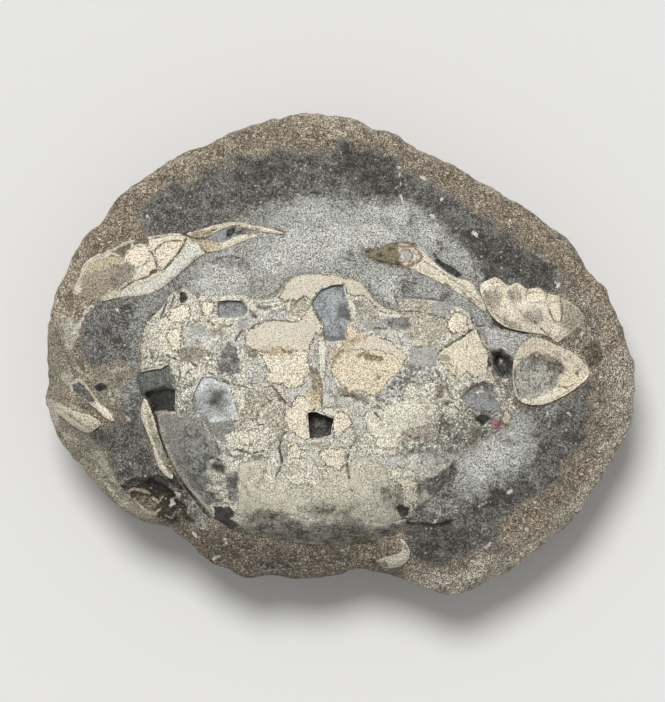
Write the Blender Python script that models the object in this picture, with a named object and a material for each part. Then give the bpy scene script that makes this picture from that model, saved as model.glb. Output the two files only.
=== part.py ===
"""Fossil crab in its stone nodule, lying on its flat underside.

The crab faces +Y and +Z is up. Outlines are in millimetres, seen from above, with the origin
under the middle of the nodule. Every piece of shell is let into a pocket in the stone.
"""

import math

import bmesh
import bpy
import numpy as np

MM = 0.001  # the outlines and heights below are in millimetres

# Heights above the resting face.
RIM_HEIGHT = 25.0  # where the nodule is widest
RIM_WAVE = 1.6  # how far that line rises and falls on its way round
FACE_CROWN = 41.0  # top of the stone, under the middle of the crab
VAULT_RISE = 9.5  # how far the back shell arches above the stone
BASE_SHARE = 0.56  # share of the plan radius that is flat underneath

SHELL_THICKNESS = 2.0
SHELL_PROUD = 0.6  # the shell's edge stands this far above the stone
GAP = 0.35  # clearance round each piece in its pocket
MOULD_GAP = 0.7  # and under the back shell, whose edge is steep
WINDOW_DEPTH = 3.0  # windows in the back shell, which show the mould under it
STEP_DEPTH = 2.8  # the step in the notch
HOLE_DEPTH = 5.5  # and those that go on down into the stone
LEDGE_DROP = 3.2  # the lower left of the stone is broken down by this much

ROUND_STEPS = 76  # the nodule's faces round the rim
RISE_STEPS = 24  # and from its foot to its crown
SHELL_CELL = 5.5
PIECE_CELL = 4.0

RIM = (
    (-6.3, 73), (3.3, 71.8), (9.3, 68.5), (17.7, 66.1), (23.4, 61.9), (32.7, 58), (41.1, 53.2),
    (49.2, 48.1), (57, 43.6), (64.5, 37.9), (71.1, 32.5), (75.3, 25.1), (79.5, 20.8),
    (81.9, 16.3), (85.2, 7.9), (87.3, 1.6), (89.1, -4), (89.1, -12.4), (87.6, -21.8),
    (84, -28.9), (78.9, -38.2), (72.3, -47.5), (64.5, -55), (55.8, -61.9), (46.8, -67.6),
    (38.7, -71.8), (32.7, -73), (26.7, -71.2), (19.2, -68.2), (11.1, -65.8), (4.2, -65.2),
    (-3.3, -67), (-12.3, -68), (-20.7, -66.8), (-28.2, -67.6), (-34.8, -64.6), (-40.8, -61.6),
    (-46.5, -56.5), (-52.8, -52.4), (-60.3, -50.2), (-67.8, -45.8), (-74.1, -39.8),
    (-80.1, -31.9), (-86.1, -23.8), (-88.8, -15.1), (-88.8, -6.1), (-89.1, 4.3), (-87.6, 15.1),
    (-83.4, 25.6), (-78.3, 34.9), (-72.9, 39.8), (-68.7, 46.4), (-60.9, 52.6), (-54.9, 57.1),
    (-50.4, 59.8), (-45.3, 62.2), (-40.8, 63.1), (-35.4, 66.1), (-29.4, 68.5), (-24.9, 70.3),
    (-19.8, 71.5), (-13.2, 72.8),
)
CARAPACE = (
    (-48.3, 19.9), (-43.5, 17.6), (-36.9, 17.6), (-29.4, 17.6), (-26.7, 16.6),
    (-23.7, 16.2), (-19.5, 17.2), (-16.8, 20.6), (-13.5, 23.2), (-3.3, 24.3), (5.7, 22.1),
    (8.1, 19.3), (10.5, 16.1), (13.5, 13.9), (16.8, 13), (17.4, 16.1), (25.2, 16.3),
    (30.3, 15.8), (33.3, 14.8), (36.9, 13.3), (39, 11.8), (40.2, 8.5), (41.7, 6.1),
    (44.4, 1.1), (45.3, -5.2), (46.8, -9.2), (49.2, -12.8), (51.3, -16.1), (50.7, -19.6),
    (47.7, -22.3), (42.9, -25.1), (39.3, -27.8), (34.2, -31.6), (32.1, -37), (27.3, -42.8),
    (22.5, -46.4), (17.7, -51.8), (9.3, -55.6), (-1.8, -57.1), (-15.3, -55.9),
    (-27.3, -53.5), (-35.1, -51.4), (-38.1, -49.4), (-39.6, -46.9), (-42, -44.2),
    (-44.7, -41.2), (-47.4, -37.9), (-49.5, -34.6), (-51.3, -31), (-52.8, -27.1),
    (-54.3, -22.6), (-54.9, -17.6), (-57.3, -13.7), (-59.4, -7.6), (-59.4, 1.3),
    (-57.3, 9.8), (-53.4, 14.2), (-51.3, 17.6),
)
LEFT_PALM = (
    (-80.4, 18.4), (-78.6, 22.9), (-77.1, 27.1), (-72.9, 30.1), (-65.7, 33.4), (-57.3, 35.2),
    (-49.5, 36.3), (-45.9, 35.1), (-43.2, 34.2), (-39.9, 34.4), (-35.7, 33.3), (-31.5, 35.2),
    (-27.9, 36), (-24.6, 35.5), (-27.3, 34.6), (-30.9, 33.1), (-35.7, 31.2), (-39.9, 30.4),
    (-43.5, 28.3), (-47.7, 24.8), (-52.5, 20.6), (-58.5, 17.8), (-65.7, 17.2), (-71.1, 16.1),
    (-75.9, 16.9),
)
LEFT_FINGER = (
    (-46.2, 36.4), (-42.9, 37.4), (-38.7, 38.6), (-32.1, 39.7), (-26.7, 39), (-21.9, 38.2),
    (-16.8, 36.6), (-21.3, 36.6), (-26.7, 37.3), (-31.5, 38.1), (-35.7, 37.5), (-39.9, 35.9),
    (-43.2, 35.3),
)
RIGHT_FINGER = (
    (6.6, 30.1), (10.5, 30.8), (14.1, 32.5), (18.3, 33.1), (21.9, 32.2), (24.9, 30.4),
    (27.6, 27.8), (31.5, 24.4), (35.1, 22.6), (38.4, 21.8), (40.6, 19.3), (43.4, 12.8),
    (37.5, 16.9), (31.5, 20.6), (25.5, 23.6), (20.1, 25.9), (14.7, 27.4), (9.9, 28.6),
)
RIGHT_PALM = (
    (41.6, 19.9), (44.1, 22.3), (46.8, 22.9), (49.8, 20.6), (52.8, 21.4), (55.5, 19.6),
    (59.1, 19.9), (61.8, 18.1), (65.1, 17.6), (68.7, 15.8), (72.3, 13), (73.5, 10.3),
    (70.5, 7.6), (66.6, 5), (64.5, 3.8), (60.9, 5.8), (53.7, 7), (48.6, 8.5), (44.6, 12.4),
)
RIGHT_WRIST = (
    (57.6, 5.1), (53.7, 2.9), (51.9, -1.6), (51.6, -7.6), (52.8, -12.8), (55.8, -14.8),
    (60.6, -14.8), (65.7, -12.8), (70.2, -10), (74.4, -5.8), (72.3, -2.2), (69, 0.8),
    (64.5, 2.7), (61.2, 4.2),
)
SIDE_PLATE = (
    (-58.6, -13), (-57.4, -14.8), (-56.4, -17.6), (-55.5, -20.6), (-53.7, -26.6),
    (-52.8, -29.2), (-51, -34.6), (-50.1, -36.4), (-50.7, -37.4), (-52.8, -35.9),
    (-54.4, -33.8), (-55.5, -31), (-57.3, -24.8), (-58.8, -21.1), (-59.7, -18.1),
    (-59.5, -15.1),
)
LEG_FRONT = (
    (-81, -8.5), (-78.3, -7), (-75.3, -10), (-72.9, -13.7), (-69.6, -16.6), (-67.5, -19.9),
    (-69.9, -19.3), (-73.8, -15.9), (-77.7, -12.4), (-81, -10.7),
)
LEG_REAR = (
    (-85.5, -14.6), (-82.5, -15.4), (-78.3, -16.6), (-74.1, -18.6), (-71.7, -20.4),
    (-73.2, -22.1), (-75.9, -23.6), (-79.8, -21.8), (-83.7, -18.8), (-85.5, -16.9),
)
REAR_HOOK = (
    (17.4, -55), (19.2, -55.9), (20.7, -59.5), (19.2, -62.5), (15.6, -64), (11.7, -63.8),
    (10.5, -61.6), (14.1, -60.4), (17.4, -59.5), (18.3, -57.4),
)
# Places where the shell has broken away, down to the stone or deeper.
LEFT_NOTCH = (
    (-60, -7), (-59.4, -5.2), (-56.7, -4.5), (-53.7, -4.2), (-51.3, -2.9), (-50.1, -4.6),
    (-49.2, -7.6), (-49.4, -12.4), (-49.5, -16.9), (-54.9, -17.1), (-56.7, -14.4),
    (-58.5, -11.8),
)
NOTCH_HOLE = (  # its rear half is a hole, its front half a step
    (-58.0, -12.0), (-56.5, -11.3), (-52.8, -10.5), (-49.8, -10.9), (-49.9, -16.5), (-54.7, -16.7),
    (-56.4, -14.6),
)
FRONT_WINDOW = (
    (-8.7, 15.8), (-6.3, 19.1), (-3, 20.6), (0.6, 20.8), (1.5, 16.9), (2.4, 12.8), (3.3, 9.8),
    (1.5, 8.8), (1.2, 4.3), (-3.3, 3.8), (-5.1, 4.6), (-5.4, 8.8), (-7.5, 12.4),
)
HEART_WINDOW = (
    (-9.9, -17.2), (-7.8, -16.9), (-2.1, -19.1), (-2.7, -21.1), (-3, -23.8), (-6.3, -24.8),
    (-9.3, -24.8),
)
SIX_SIDED_WINDOW = (
    (-41.4, -6.8), (-38.7, -6.5), (-33, -8.5), (-32.4, -12.2), (-30.6, -16.9), (-33.3, -19.6),
    (-38.7, -20.2), (-42.9, -17.2), (-44.4, -13.7),
)
EYE_WINDOW = (
    (-36.9, 15.9), (-33.3, 16.2), (-30, 16.1), (-27.6, 13.3), (-28.8, 11.5), (-31.8, 10.9),
    (-36.6, 10.9),
)
WRIST_PIT = (
    (45.3, 0.2), (47.7, 1.1), (50.1, -1.1), (50.7, -3.4), (49.8, -5.8), (47.1, -5.2),
    (45.9, -2.9),
)
LEDGE = (
    (-93.3, -19.6), (-85.8, -22.1), (-81.3, -24.8), (-73.8, -28.6), (-69.9, -33.8),
    (-68.4, -37), (-64.8, -40.6), (-60.3, -43.6), (-57.3, -48.1), (-56.7, -54.1),
    (-57.3, -64.6), (-93.3, -64.6),
)

SHELL_CENTRE = (-6.3, -19.5)
# How far in from the shell's edge it reaches its full height, by direction from its centre:
# long and gentle at the front, steep behind.
VAULT_REACH = (
    (-180, 17), (-135, 15), (-90, 11), (-45, 16), (0, 22), (45, 27), (90, 32), (135, 26), (180, 17),
)
# Swellings of the back shell: centre x, centre y, radius, height.
SWELLINGS = (
    (-15.3, 1.3, 8, 1.1), (8.1, -2.2, 9, 1.1), (-6.3, -21.1, 7, 1.0), (-42.3, -13.7, 13, 1.4),
    (29.7, -13.7, 13, 1.4), (-6.3, 17.0, 10, 0.9), (-6.3, -12.0, 4, -0.8), (-20.0, -31.0, 4, -0.9),
    (3.0, -32.0, 4, -0.9),
)
# Small round pits: centre x, centre y, radius, depth.
PITS = ((-47.1, 17.1, 1.5, 2.4), (-36.6, -33.8, 2.0, 2.6), (41.6, -19.0, 2.4, 2.6), (17.4, -45.9, 2.0, 2.6))
HOLLOW = ((-56.4, -42.6), (9.5, 5.0), -24, 5.5)  # centre, half axes, turn in degrees, depth


def clear_scene():
    for obj in list(bpy.data.objects):
        bpy.data.objects.remove(obj, do_unlink=True)


def smoothstep(low, high, value):
    t = np.clip((value - low) / (high - low), 0.0, 1.0)
    return t * t * (3.0 - 2.0 * t)


def smooth_outline(points, step):
    """Points about `step` apart on the closed curve through the given ones."""
    p = np.array(points, float)
    before, after, beyond = np.roll(p, 1, 0), np.roll(p, -1, 0), np.roll(p, -2, 0)
    curve = []
    for a, b, c, d in zip(before, p, after, beyond):
        for t in np.linspace(0, 1, 24, endpoint=False):
            curve.append(
                0.5 * (2 * b + (c - a) * t + (2 * a - 5 * b + 4 * c - d) * t**2
                       + (3 * b - a - 3 * c + d) * t**3)
            )
    return resample(np.array(curve), step)


def resample(curve, step):
    closed = np.vstack([curve, curve[:1]])
    along = np.concatenate([[0], np.cumsum(np.linalg.norm(np.diff(closed, axis=0), axis=1))])
    count = max(8, round(along[-1] / step))
    wanted = np.linspace(0, along[-1], count, endpoint=False)
    return np.column_stack([np.interp(wanted, along, closed[:, i]) for i in (0, 1)])


def enclosed_area(outline):
    x, y = np.asarray(outline, float).T
    return 0.5 * float(np.sum(x * np.roll(y, -1) - np.roll(x, -1) * y))


def grown(outline, distance):
    """The outline moved outwards by a distance."""
    p = np.asarray(outline, float)
    if enclosed_area(p) < 0:
        p = p[::-1]
    along = np.roll(p, -1, 0) - np.roll(p, 1, 0)
    along /= np.linalg.norm(along, axis=1)[:, None]
    return p + distance * np.column_stack([along[:, 1], -along[:, 0]])


def distance_inside(x, y, outline):
    """Distance from each place to the outline: positive inside, negative outside."""
    p = np.asarray(outline, float)
    q = np.roll(p, -1, 0)
    nearest = np.full(np.shape(x), 1e9)
    inside = np.zeros(np.shape(x), bool)
    for (x0, y0), (x1, y1) in zip(p, q):
        dx, dy = x1 - x0, y1 - y0
        t = np.clip(((x - x0) * dx + (y - y0) * dy) / (dx * dx + dy * dy), 0, 1)
        nearest = np.minimum(nearest, np.hypot(x - x0 - t * dx, y - y0 - t * dy))
        if dy:
            crosses = (y0 > y) != (y1 > y)
            inside ^= crosses & (x < x0 + (y - y0) / dy * dx)
    return np.where(inside, nearest, -nearest)


def waviness(x, y, size, seed):
    """Smooth random waves of about the given size, between -1 and 1."""
    table = np.random.default_rng(seed).uniform(-1, 1, (64, 64))
    u, v = x / size + 32, y / size + 32
    i, j = np.floor(u).astype(int), np.floor(v).astype(int)
    s, t = smoothstep(0, 1, u - i), smoothstep(0, 1, v - j)
    low = table[i % 64, j % 64] * (1 - s) + table[(i + 1) % 64, j % 64] * s
    high = table[i % 64, (j + 1) % 64] * (1 - s) + table[(i + 1) % 64, (j + 1) % 64] * s
    return low * (1 - t) + high * t


rim_curve = smooth_outline(RIM, 1.0)
shell_curve = smooth_outline(CARAPACE, 3.0)
ledge_curve = smooth_outline(LEDGE, 3.0)
rim_angles = np.arctan2(rim_curve[:, 1], rim_curve[:, 0])
rim_order = np.argsort(rim_angles)


def rim_radius(angle):
    radii = np.hypot(rim_curve[:, 0], rim_curve[:, 1])[rim_order]
    return np.interp(angle, rim_angles[rim_order], radii, period=2 * math.pi)


def rim_height(angle):
    return RIM_HEIGHT + RIM_WAVE * (0.7 * np.sin(2 * angle + 0.6) + 0.3 * np.sin(5 * angle))


def stone_height(x, y):
    """The stone's upper surface as it would be with no crab in it."""
    angle = np.arctan2(y, x)
    share = np.clip(np.hypot(x, y) / rim_radius(angle), 0, 1)
    foot = rim_height(angle)
    height = foot + (FACE_CROWN - foot) * (1 - share**2.6) ** 0.55
    rind = smoothstep(0.6, 0.9, share) * (1 - smoothstep(0.93, 1.0, share))
    height += (0.6 + 1.1 * rind) * waviness(x, y, 19, 1) * (1 - smoothstep(0.9, 1.0, share))
    height += rind * 0.9 * waviness(x, y, 9, 2)
    below = distance_inside(x, y, ledge_curve)
    return height - LEDGE_DROP * smoothstep(-1.0, 3.0, below) * (1 - smoothstep(0.9, 1.0, share))


def vault(x, y):
    """How far the back shell arches above the stone."""
    inside = np.maximum(distance_inside(x, y, shell_curve), 0)
    turn = np.degrees(np.arctan2(y - SHELL_CENTRE[1], x - SHELL_CENTRE[0]))
    reach = np.interp(turn, *zip(*VAULT_REACH))
    full = 1 - (1 - np.clip(inside / reach, 0, 1)) ** 2
    rise = VAULT_RISE * full**0.9
    for cx, cy, radius, height in SWELLINGS:
        rise += full * height * np.exp(-((x - cx) ** 2 + (y - cy) ** 2) / radius**2)
    return rise


def land(x, y):
    """Height of the worn upper surface: the stone, and the arch of the back shell."""
    return stone_height(x, y) + vault(x, y)


def material(name, colour, roughness):
    finish = bpy.data.materials.new(name)
    finish.use_nodes = True
    shader = finish.node_tree.nodes["Principled BSDF"]
    shader.inputs["Base Color"].default_value = (*colour, 1.0)
    shader.inputs["Roughness"].default_value = roughness
    shader.inputs["Metallic"].default_value = 0.0
    finish.diffuse_color = (*colour, 1.0)
    return finish


def new_object(name, bm, finish=None):
    bmesh.ops.recalc_face_normals(bm, faces=bm.faces)
    bmesh.ops.scale(bm, vec=(MM, MM, MM), verts=bm.verts)
    mesh = bpy.data.meshes.new(name)
    bm.to_mesh(mesh)
    bm.free()
    obj = bpy.data.objects.new(name, mesh)
    bpy.context.scene.collection.objects.link(obj)
    if finish:
        mesh.materials.append(finish)
    return obj


def set_heights(verts, height):
    """Puts each vertex at the height that the function gives for its place."""
    verts = list(verts)
    x = np.array([v.co.x for v in verts])
    y = np.array([v.co.y for v in verts])
    for vert, z in zip(verts, np.broadcast_to(height(x, y), x.shape)):
        vert.co.z = z


def tiled_face(outline, cell):
    """A bmesh holding the outline as a flat face, cut into cells and then triangles."""
    bm = bmesh.new()
    bm.faces.new([bm.verts.new((x, y, 0)) for x, y in outline])
    for axis, normal in ((0, (1, 0, 0)), (1, (0, 1, 0))):
        low, high = np.min(outline, 0)[axis], np.max(outline, 0)[axis]
        for cut_at in np.arange(math.ceil(low / cell) * cell, high, cell):
            place = [0, 0, 0]
            place[axis] = cut_at
            bmesh.ops.bisect_plane(
                bm, geom=bm.verts[:] + bm.edges[:] + bm.faces[:], dist=0.25,
                plane_co=place, plane_no=normal,
            )
    bmesh.ops.triangulate(bm, faces=bm.faces)
    return bm


def plate(name, outline, cell, top, bottom, finish=None):
    """A closed plate between two height functions."""
    bm = tiled_face(outline, cell)
    lower = bm.verts[:]
    made = bmesh.ops.extrude_face_region(bm, geom=bm.faces[:])
    upper = [v for v in made["geom"] if isinstance(v, bmesh.types.BMVert)]
    set_heights(upper, top)
    set_heights(lower, bottom)
    bmesh.ops.triangulate(bm, faces=bm.faces)
    return new_object(name, bm, finish)


def block(name, outline, cell, top, bottom_height, finish=None):
    """A closed block with a shaped top and a flat bottom."""
    bm = tiled_face(outline, cell)
    set_heights(bm.verts[:], top)
    edges = [e for e in bm.edges if e.is_boundary]
    made = bmesh.ops.extrude_edge_only(bm, edges=edges)
    lowered = [v for v in made["geom"] if isinstance(v, bmesh.types.BMVert)]
    for vert in lowered:
        vert.co.z = bottom_height
    bmesh.ops.holes_fill(bm, edges=[e for e in bm.edges if e.is_boundary], sides=0)
    bmesh.ops.triangulate(bm, faces=bm.faces)
    return new_object(name, bm, finish)


def as_cutter(obj):
    obj.hide_render = True
    obj.display_type = "WIRE"
    return obj


def cut(obj, cutter):
    modifier = obj.modifiers.new(cutter.name, "BOOLEAN")
    modifier.operation = "DIFFERENCE"
    modifier.solver = "EXACT"
    modifier.object = cutter


def inlay(name, outline, depth, proud, crown, finish):
    """A piece let into the stone, and the cutter of its pocket.

    `crown` raises the middle of its face, or dishes it where negative, over `depth` of stone.
    """
    curve = smooth_outline(outline, 2.4)
    low, high = np.min(curve, 0), np.max(curve, 0)
    half_width = 0.35 * min(high - low)

    def top(x, y):
        inward = np.clip(distance_inside(x, y, curve) / half_width, 0, 1)
        return land(x, y) + proud + crown * (1 - (1 - inward) ** 2)

    floor = float(np.min(stone_height(curve[:, 0], curve[:, 1]))) - depth
    piece = block(name, curve, PIECE_CELL, top, floor, finish)
    pocket = block(name + "_pocket", grown(curve, GAP), 1000.0, lambda x, y: land(x, y) + 20, floor - GAP)
    return piece, as_cutter(pocket)


def broken_window(name, outline, depth):
    """The cutter of a place where the shell is missing, `depth` below the worn surface."""
    ring = resample(np.array(outline, float), 2.5)
    return as_cutter(
        plate(name, ring, 4.0, lambda x, y: land(x, y) + 8, lambda x, y: land(x, y) - depth)
    )


def round_pit(name, x, y, radius, depth):
    bm = bmesh.new()
    bmesh.ops.create_icosphere(bm, subdivisions=2, radius=1.0)
    surface = float(land(np.array([x]), np.array([y]))[0]) + SHELL_PROUD
    bmesh.ops.scale(bm, vec=(radius, radius, depth), verts=bm.verts)
    bmesh.ops.translate(bm, vec=(x, y, surface), verts=bm.verts)
    return as_cutter(new_object(name, bm))


def nodule_blank(finish):
    """A ball pressed into the nodule's outline, with a flat foot."""
    bm = bmesh.new()
    bmesh.ops.create_uvsphere(bm, u_segments=ROUND_STEPS, v_segments=RISE_STEPS, radius=1.0)
    ball = np.array([v.co for v in bm.verts])
    angle = np.arctan2(ball[:, 1], ball[:, 0])
    share = np.minimum(np.hypot(ball[:, 0], ball[:, 1]), 1.0)
    reach = share * rim_radius(angle)
    x, y = reach * np.cos(angle), reach * np.sin(angle)
    outward = np.clip((share - BASE_SHARE) / (1 - BASE_SHARE), 0, 1)
    under = rim_height(angle) * (1 - (1 - outward**2.2) ** 0.6)
    under += 1.9 * waviness(x, y, 17, 3) * smoothstep(0.25, 0.6, outward) * (1 - smoothstep(0.9, 1, outward))
    z = np.where(ball[:, 2] > -1e-4, stone_height(x, y), np.maximum(under, 0))
    for vert, place in zip(bm.verts, zip(x, y, z)):
        vert.co = place
    bmesh.ops.triangulate(bm, faces=bm.faces)
    return new_object("nodule", bm, finish)


def hollow_cutter():
    (x, y), (half_long, half_wide), turn, depth = HOLLOW
    bm = bmesh.new()
    bmesh.ops.create_icosphere(bm, subdivisions=2, radius=1.0)
    surface = float(stone_height(np.array([x]), np.array([y]))[0])
    bmesh.ops.scale(bm, vec=(half_long, half_wide, depth), verts=bm.verts)
    turned = math.radians(turn)
    for vert in bm.verts:
        px, py = vert.co.x, vert.co.y
        ripple = 1 + 0.16 * math.sin(3.1 * px + 1.7 * py)
        vert.co.x = x + ripple * (px * math.cos(turned) - py * math.sin(turned))
        vert.co.y = y + ripple * (px * math.sin(turned) + py * math.cos(turned))
        vert.co.z += surface
    return as_cutter(new_object("hollow", bm))


def build():
    stone = material("stone", (0.20, 0.185, 0.155), 0.9)
    shell = material("shell", (0.50, 0.46, 0.37), 0.65)
    claw_shell = material("claw_shell", (0.60, 0.53, 0.41), 0.65)
    leg_shell = material("leg_shell", (0.40, 0.36, 0.28), 0.75)

    nodule = nodule_blank(stone)

    carapace = plate(
        "carapace", shell_curve, SHELL_CELL,
        lambda x, y: land(x, y) + SHELL_PROUD,
        lambda x, y: land(x, y) + SHELL_PROUD - SHELL_THICKNESS,
        shell,
    )
    mould_depth = SHELL_THICKNESS + MOULD_GAP - SHELL_PROUD
    mould = as_cutter(plate(
        "carapace_pocket", grown(shell_curve, GAP), SHELL_CELL,
        lambda x, y: land(x, y) + 15,
        lambda x, y: land(x, y) - mould_depth,
    ))
    cut(nodule, mould)

    for number, outline in enumerate((FRONT_WINDOW, SIX_SIDED_WINDOW, EYE_WINDOW), 1):
        cut(carapace, broken_window(f"window_{number}", outline, WINDOW_DEPTH))
    heart = broken_window("heart_window", HEART_WINDOW, HOLE_DEPTH)
    notch_step = broken_window("notch_step", LEFT_NOTCH, STEP_DEPTH)
    for hole in (heart, notch_step):
        cut(carapace, hole)
        cut(nodule, hole)
    cut(nodule, broken_window("notch_hole", NOTCH_HOLE, HOLE_DEPTH))
    for number, pit in enumerate(PITS, 1):
        cut(carapace, round_pit(f"pit_{number}", *pit))

    # Outline, depth in the stone, height above it, crown of its face.
    pieces = (
        ("left_claw_palm", LEFT_PALM, 6.0, 0.5, 1.6, claw_shell),
        ("left_claw_finger", LEFT_FINGER, 4.0, 0.5, 0.7, claw_shell),
        ("right_claw_palm", RIGHT_PALM, 6.0, 0.6, 1.8, claw_shell),
        ("right_claw_finger", RIGHT_FINGER, 5.0, 0.5, 1.0, claw_shell),
        ("right_claw_wrist", RIGHT_WRIST, 6.0, 1.2, -1.6, claw_shell),
        ("side_plate", SIDE_PLATE, 4.0, 1.0, 0.3, shell),
        ("leg_fragment_front", LEG_FRONT, 3.5, 0.9, 0.6, leg_shell),
        ("leg_fragment_rear", LEG_REAR, 3.5, 0.8, 0.8, leg_shell),
        ("rear_hook", REAR_HOOK, 3.5, 0.8, 0.6, leg_shell),
    )
    for piece in pieces:
        cut(nodule, inlay(*piece)[1])
    cut(nodule, broken_window("wrist_pit", WRIST_PIT, HOLE_DEPTH))
    cut(nodule, hollow_cutter())

    for obj in bpy.data.objects:
        obj.data.shade_smooth()
        obj.data.set_sharp_from_angle(angle=math.radians(35))


clear_scene()
build()
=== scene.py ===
import math
from functools import partial

import bmesh
import bpy
import numpy as np
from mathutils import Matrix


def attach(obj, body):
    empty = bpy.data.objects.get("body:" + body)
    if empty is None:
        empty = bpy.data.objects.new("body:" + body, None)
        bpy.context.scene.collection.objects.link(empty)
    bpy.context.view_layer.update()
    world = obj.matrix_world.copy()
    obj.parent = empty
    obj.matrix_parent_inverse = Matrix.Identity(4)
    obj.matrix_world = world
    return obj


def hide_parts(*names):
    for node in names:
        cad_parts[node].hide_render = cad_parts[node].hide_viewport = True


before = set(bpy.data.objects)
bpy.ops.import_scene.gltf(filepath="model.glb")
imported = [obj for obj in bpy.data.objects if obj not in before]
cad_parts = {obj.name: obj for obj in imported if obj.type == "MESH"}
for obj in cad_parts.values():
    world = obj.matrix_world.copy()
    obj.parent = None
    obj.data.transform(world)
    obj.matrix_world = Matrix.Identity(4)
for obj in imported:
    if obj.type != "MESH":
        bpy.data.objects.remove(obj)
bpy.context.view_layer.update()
print("packed model loaded")

mm = 0.001  # everything below is in millimetres until a mesh is finished

# Outlines are drawn on a squared sheet laid over the fossil, y down, 0.3 mm to a square.
sheet = {"square": 0.3, "originX": 341.0, "originY": 354.5, "wide": 665, "high": 702}


def onStone(points):
    p = np.array(points, float)
    x = (p[:, 0] - sheet["originX"]) * sheet["square"]
    y = (sheet["originY"] - p[:, 1]) * sheet["square"]
    return np.column_stack([x, y])


# outlines of the pieces, from above
noduleRim = [
    (320, 111), (352, 115), (372, 126), (400, 134), (419, 148), (450, 161), (478, 177), (505, 194),
    (531, 209), (556, 228), (578, 246), (592, 271), (606, 285), (614, 300), (625, 328), (632, 349),
    (638, 368), (638, 396), (633, 427), (621, 451), (604, 482), (582, 513), (556, 538), (527, 561),
    (497, 580), (470, 594), (450, 598), (430, 592), (405, 582), (378, 574), (355, 572), (330, 578),
    (300, 581), (272, 577), (247, 580), (225, 570), (205, 560), (186, 543), (165, 529), (140, 522),
    (115, 507), (94, 487), (74, 461), (54, 434), (45, 405), (45, 375), (44, 340), (49, 304),
    (63, 269), (80, 238), (98, 222), (112, 200), (138, 179), (158, 164), (173, 155), (190, 147),
    (205, 144), (223, 134), (243, 126), (258, 120), (275, 116), (297, 112),
]
backShell = [
    (180, 288), (190, 291), (196, 296), (206, 296), (218, 296), (232, 295), (243, 296), (252, 299),
    (262, 300.5), (276, 297), (285, 286), (296, 277), (312, 274), (330, 273.5), (345, 277),
    (360, 281), (368, 290), (376, 301), (386, 308), (397, 311), (399, 301), (412, 299), (425, 300),
    (442, 302), (452, 305), (464, 310), (471, 315), (475, 326), (480, 334), (489, 351), (492, 372),
    (497, 385), (505, 397), (512, 408), (510, 420), (500, 429), (484, 438), (472, 447), (455, 460),
    (448, 478), (432, 497), (416, 509), (400, 527), (372, 540), (335, 545), (290, 541), (250, 533),
    (224, 526), (214, 519), (209, 511), (201, 502), (192, 492), (183, 481), (176, 470), (170, 458),
    (165, 445), (160, 430), (158, 413), (150, 400), (143, 380), (143, 350), (150, 322), (163, 307),
    (170, 296),
]
leftPalm = [
    (73, 293), (79, 278), (84, 264), (98, 254), (122, 243), (150, 237), (176, 233.5), (188, 237.5),
    (197, 240.5), (208, 240), (222, 243.5), (236, 237), (248, 234.5), (259, 236), (250, 239),
    (238, 244), (222, 250.5), (208, 253), (196, 260), (182, 272), (166, 286), (146, 295),
    (122, 297), (104, 301), (88, 298),
]
leftFinger = [
    (187, 234), (198, 231), (212, 226.5), (234, 222.5), (252, 225.5), (268, 228.5), (285, 234),
    (270, 233.5), (252, 230.5), (236, 227.5), (222, 229.5), (208, 237), (197, 238.5),
]
rightFinger = [
    (363, 254), (376, 252), (388, 246), (402, 244), (414, 247), (424, 253), (433, 262), (446, 273),
    (458, 279), (469, 282), (476.5, 290), (485.5, 312), (466, 298), (446, 286), (426, 276),
    (408, 268), (390, 263), (374, 259),
]
rightPalm = [
    (479, 288), (488, 280), (497, 278), (507, 286), (517, 283), (526, 289), (538, 288), (547, 294),
    (558, 296), (570, 302), (582, 311), (586, 320), (576, 329), (563, 338), (556, 342), (544, 335),
    (520, 331), (503, 326), (489, 313),
]
rightWrist = [
    (533, 337.5), (520, 345), (513, 360), (512, 380), (516, 397), (527, 404), (543, 404), (560, 397),
    (575, 388), (589, 374), (582, 362), (571, 352), (556, 345.5), (545, 340.5),
]
sidePlate = [
    (145.5, 398), (149.5, 404), (153, 413), (156, 423), (159, 433), (162, 443), (165, 452),
    (168, 462), (171, 470), (174, 476), (172, 479), (165, 474), (159.5, 467), (156, 458),
    (154, 449), (150, 437), (145, 425), (142, 415), (142.5, 405),
]
legFront = [
    (71, 383), (80, 378), (90, 388), (98, 400), (109, 410), (116, 421), (108, 419), (95, 407.5),
    (82, 396), (71, 390),
]
legRear = [
    (56, 403), (66, 406), (80, 410), (94, 416.5), (102, 422.5), (97, 428), (88, 433), (75, 427),
    (62, 417), (56, 411),
]
rearHook = [
    (399, 538), (405, 541), (410, 553), (405, 563), (393, 568), (380, 567), (376, 560), (388, 556),
    (399, 553), (402, 546),
]
ledge = [
    (30, 420), (55, 428), (70, 437), (95, 450), (108, 467), (113, 478), (125, 490), (140, 500),
    (150, 515), (152, 535), (150, 570), (30, 570),
]

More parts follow.
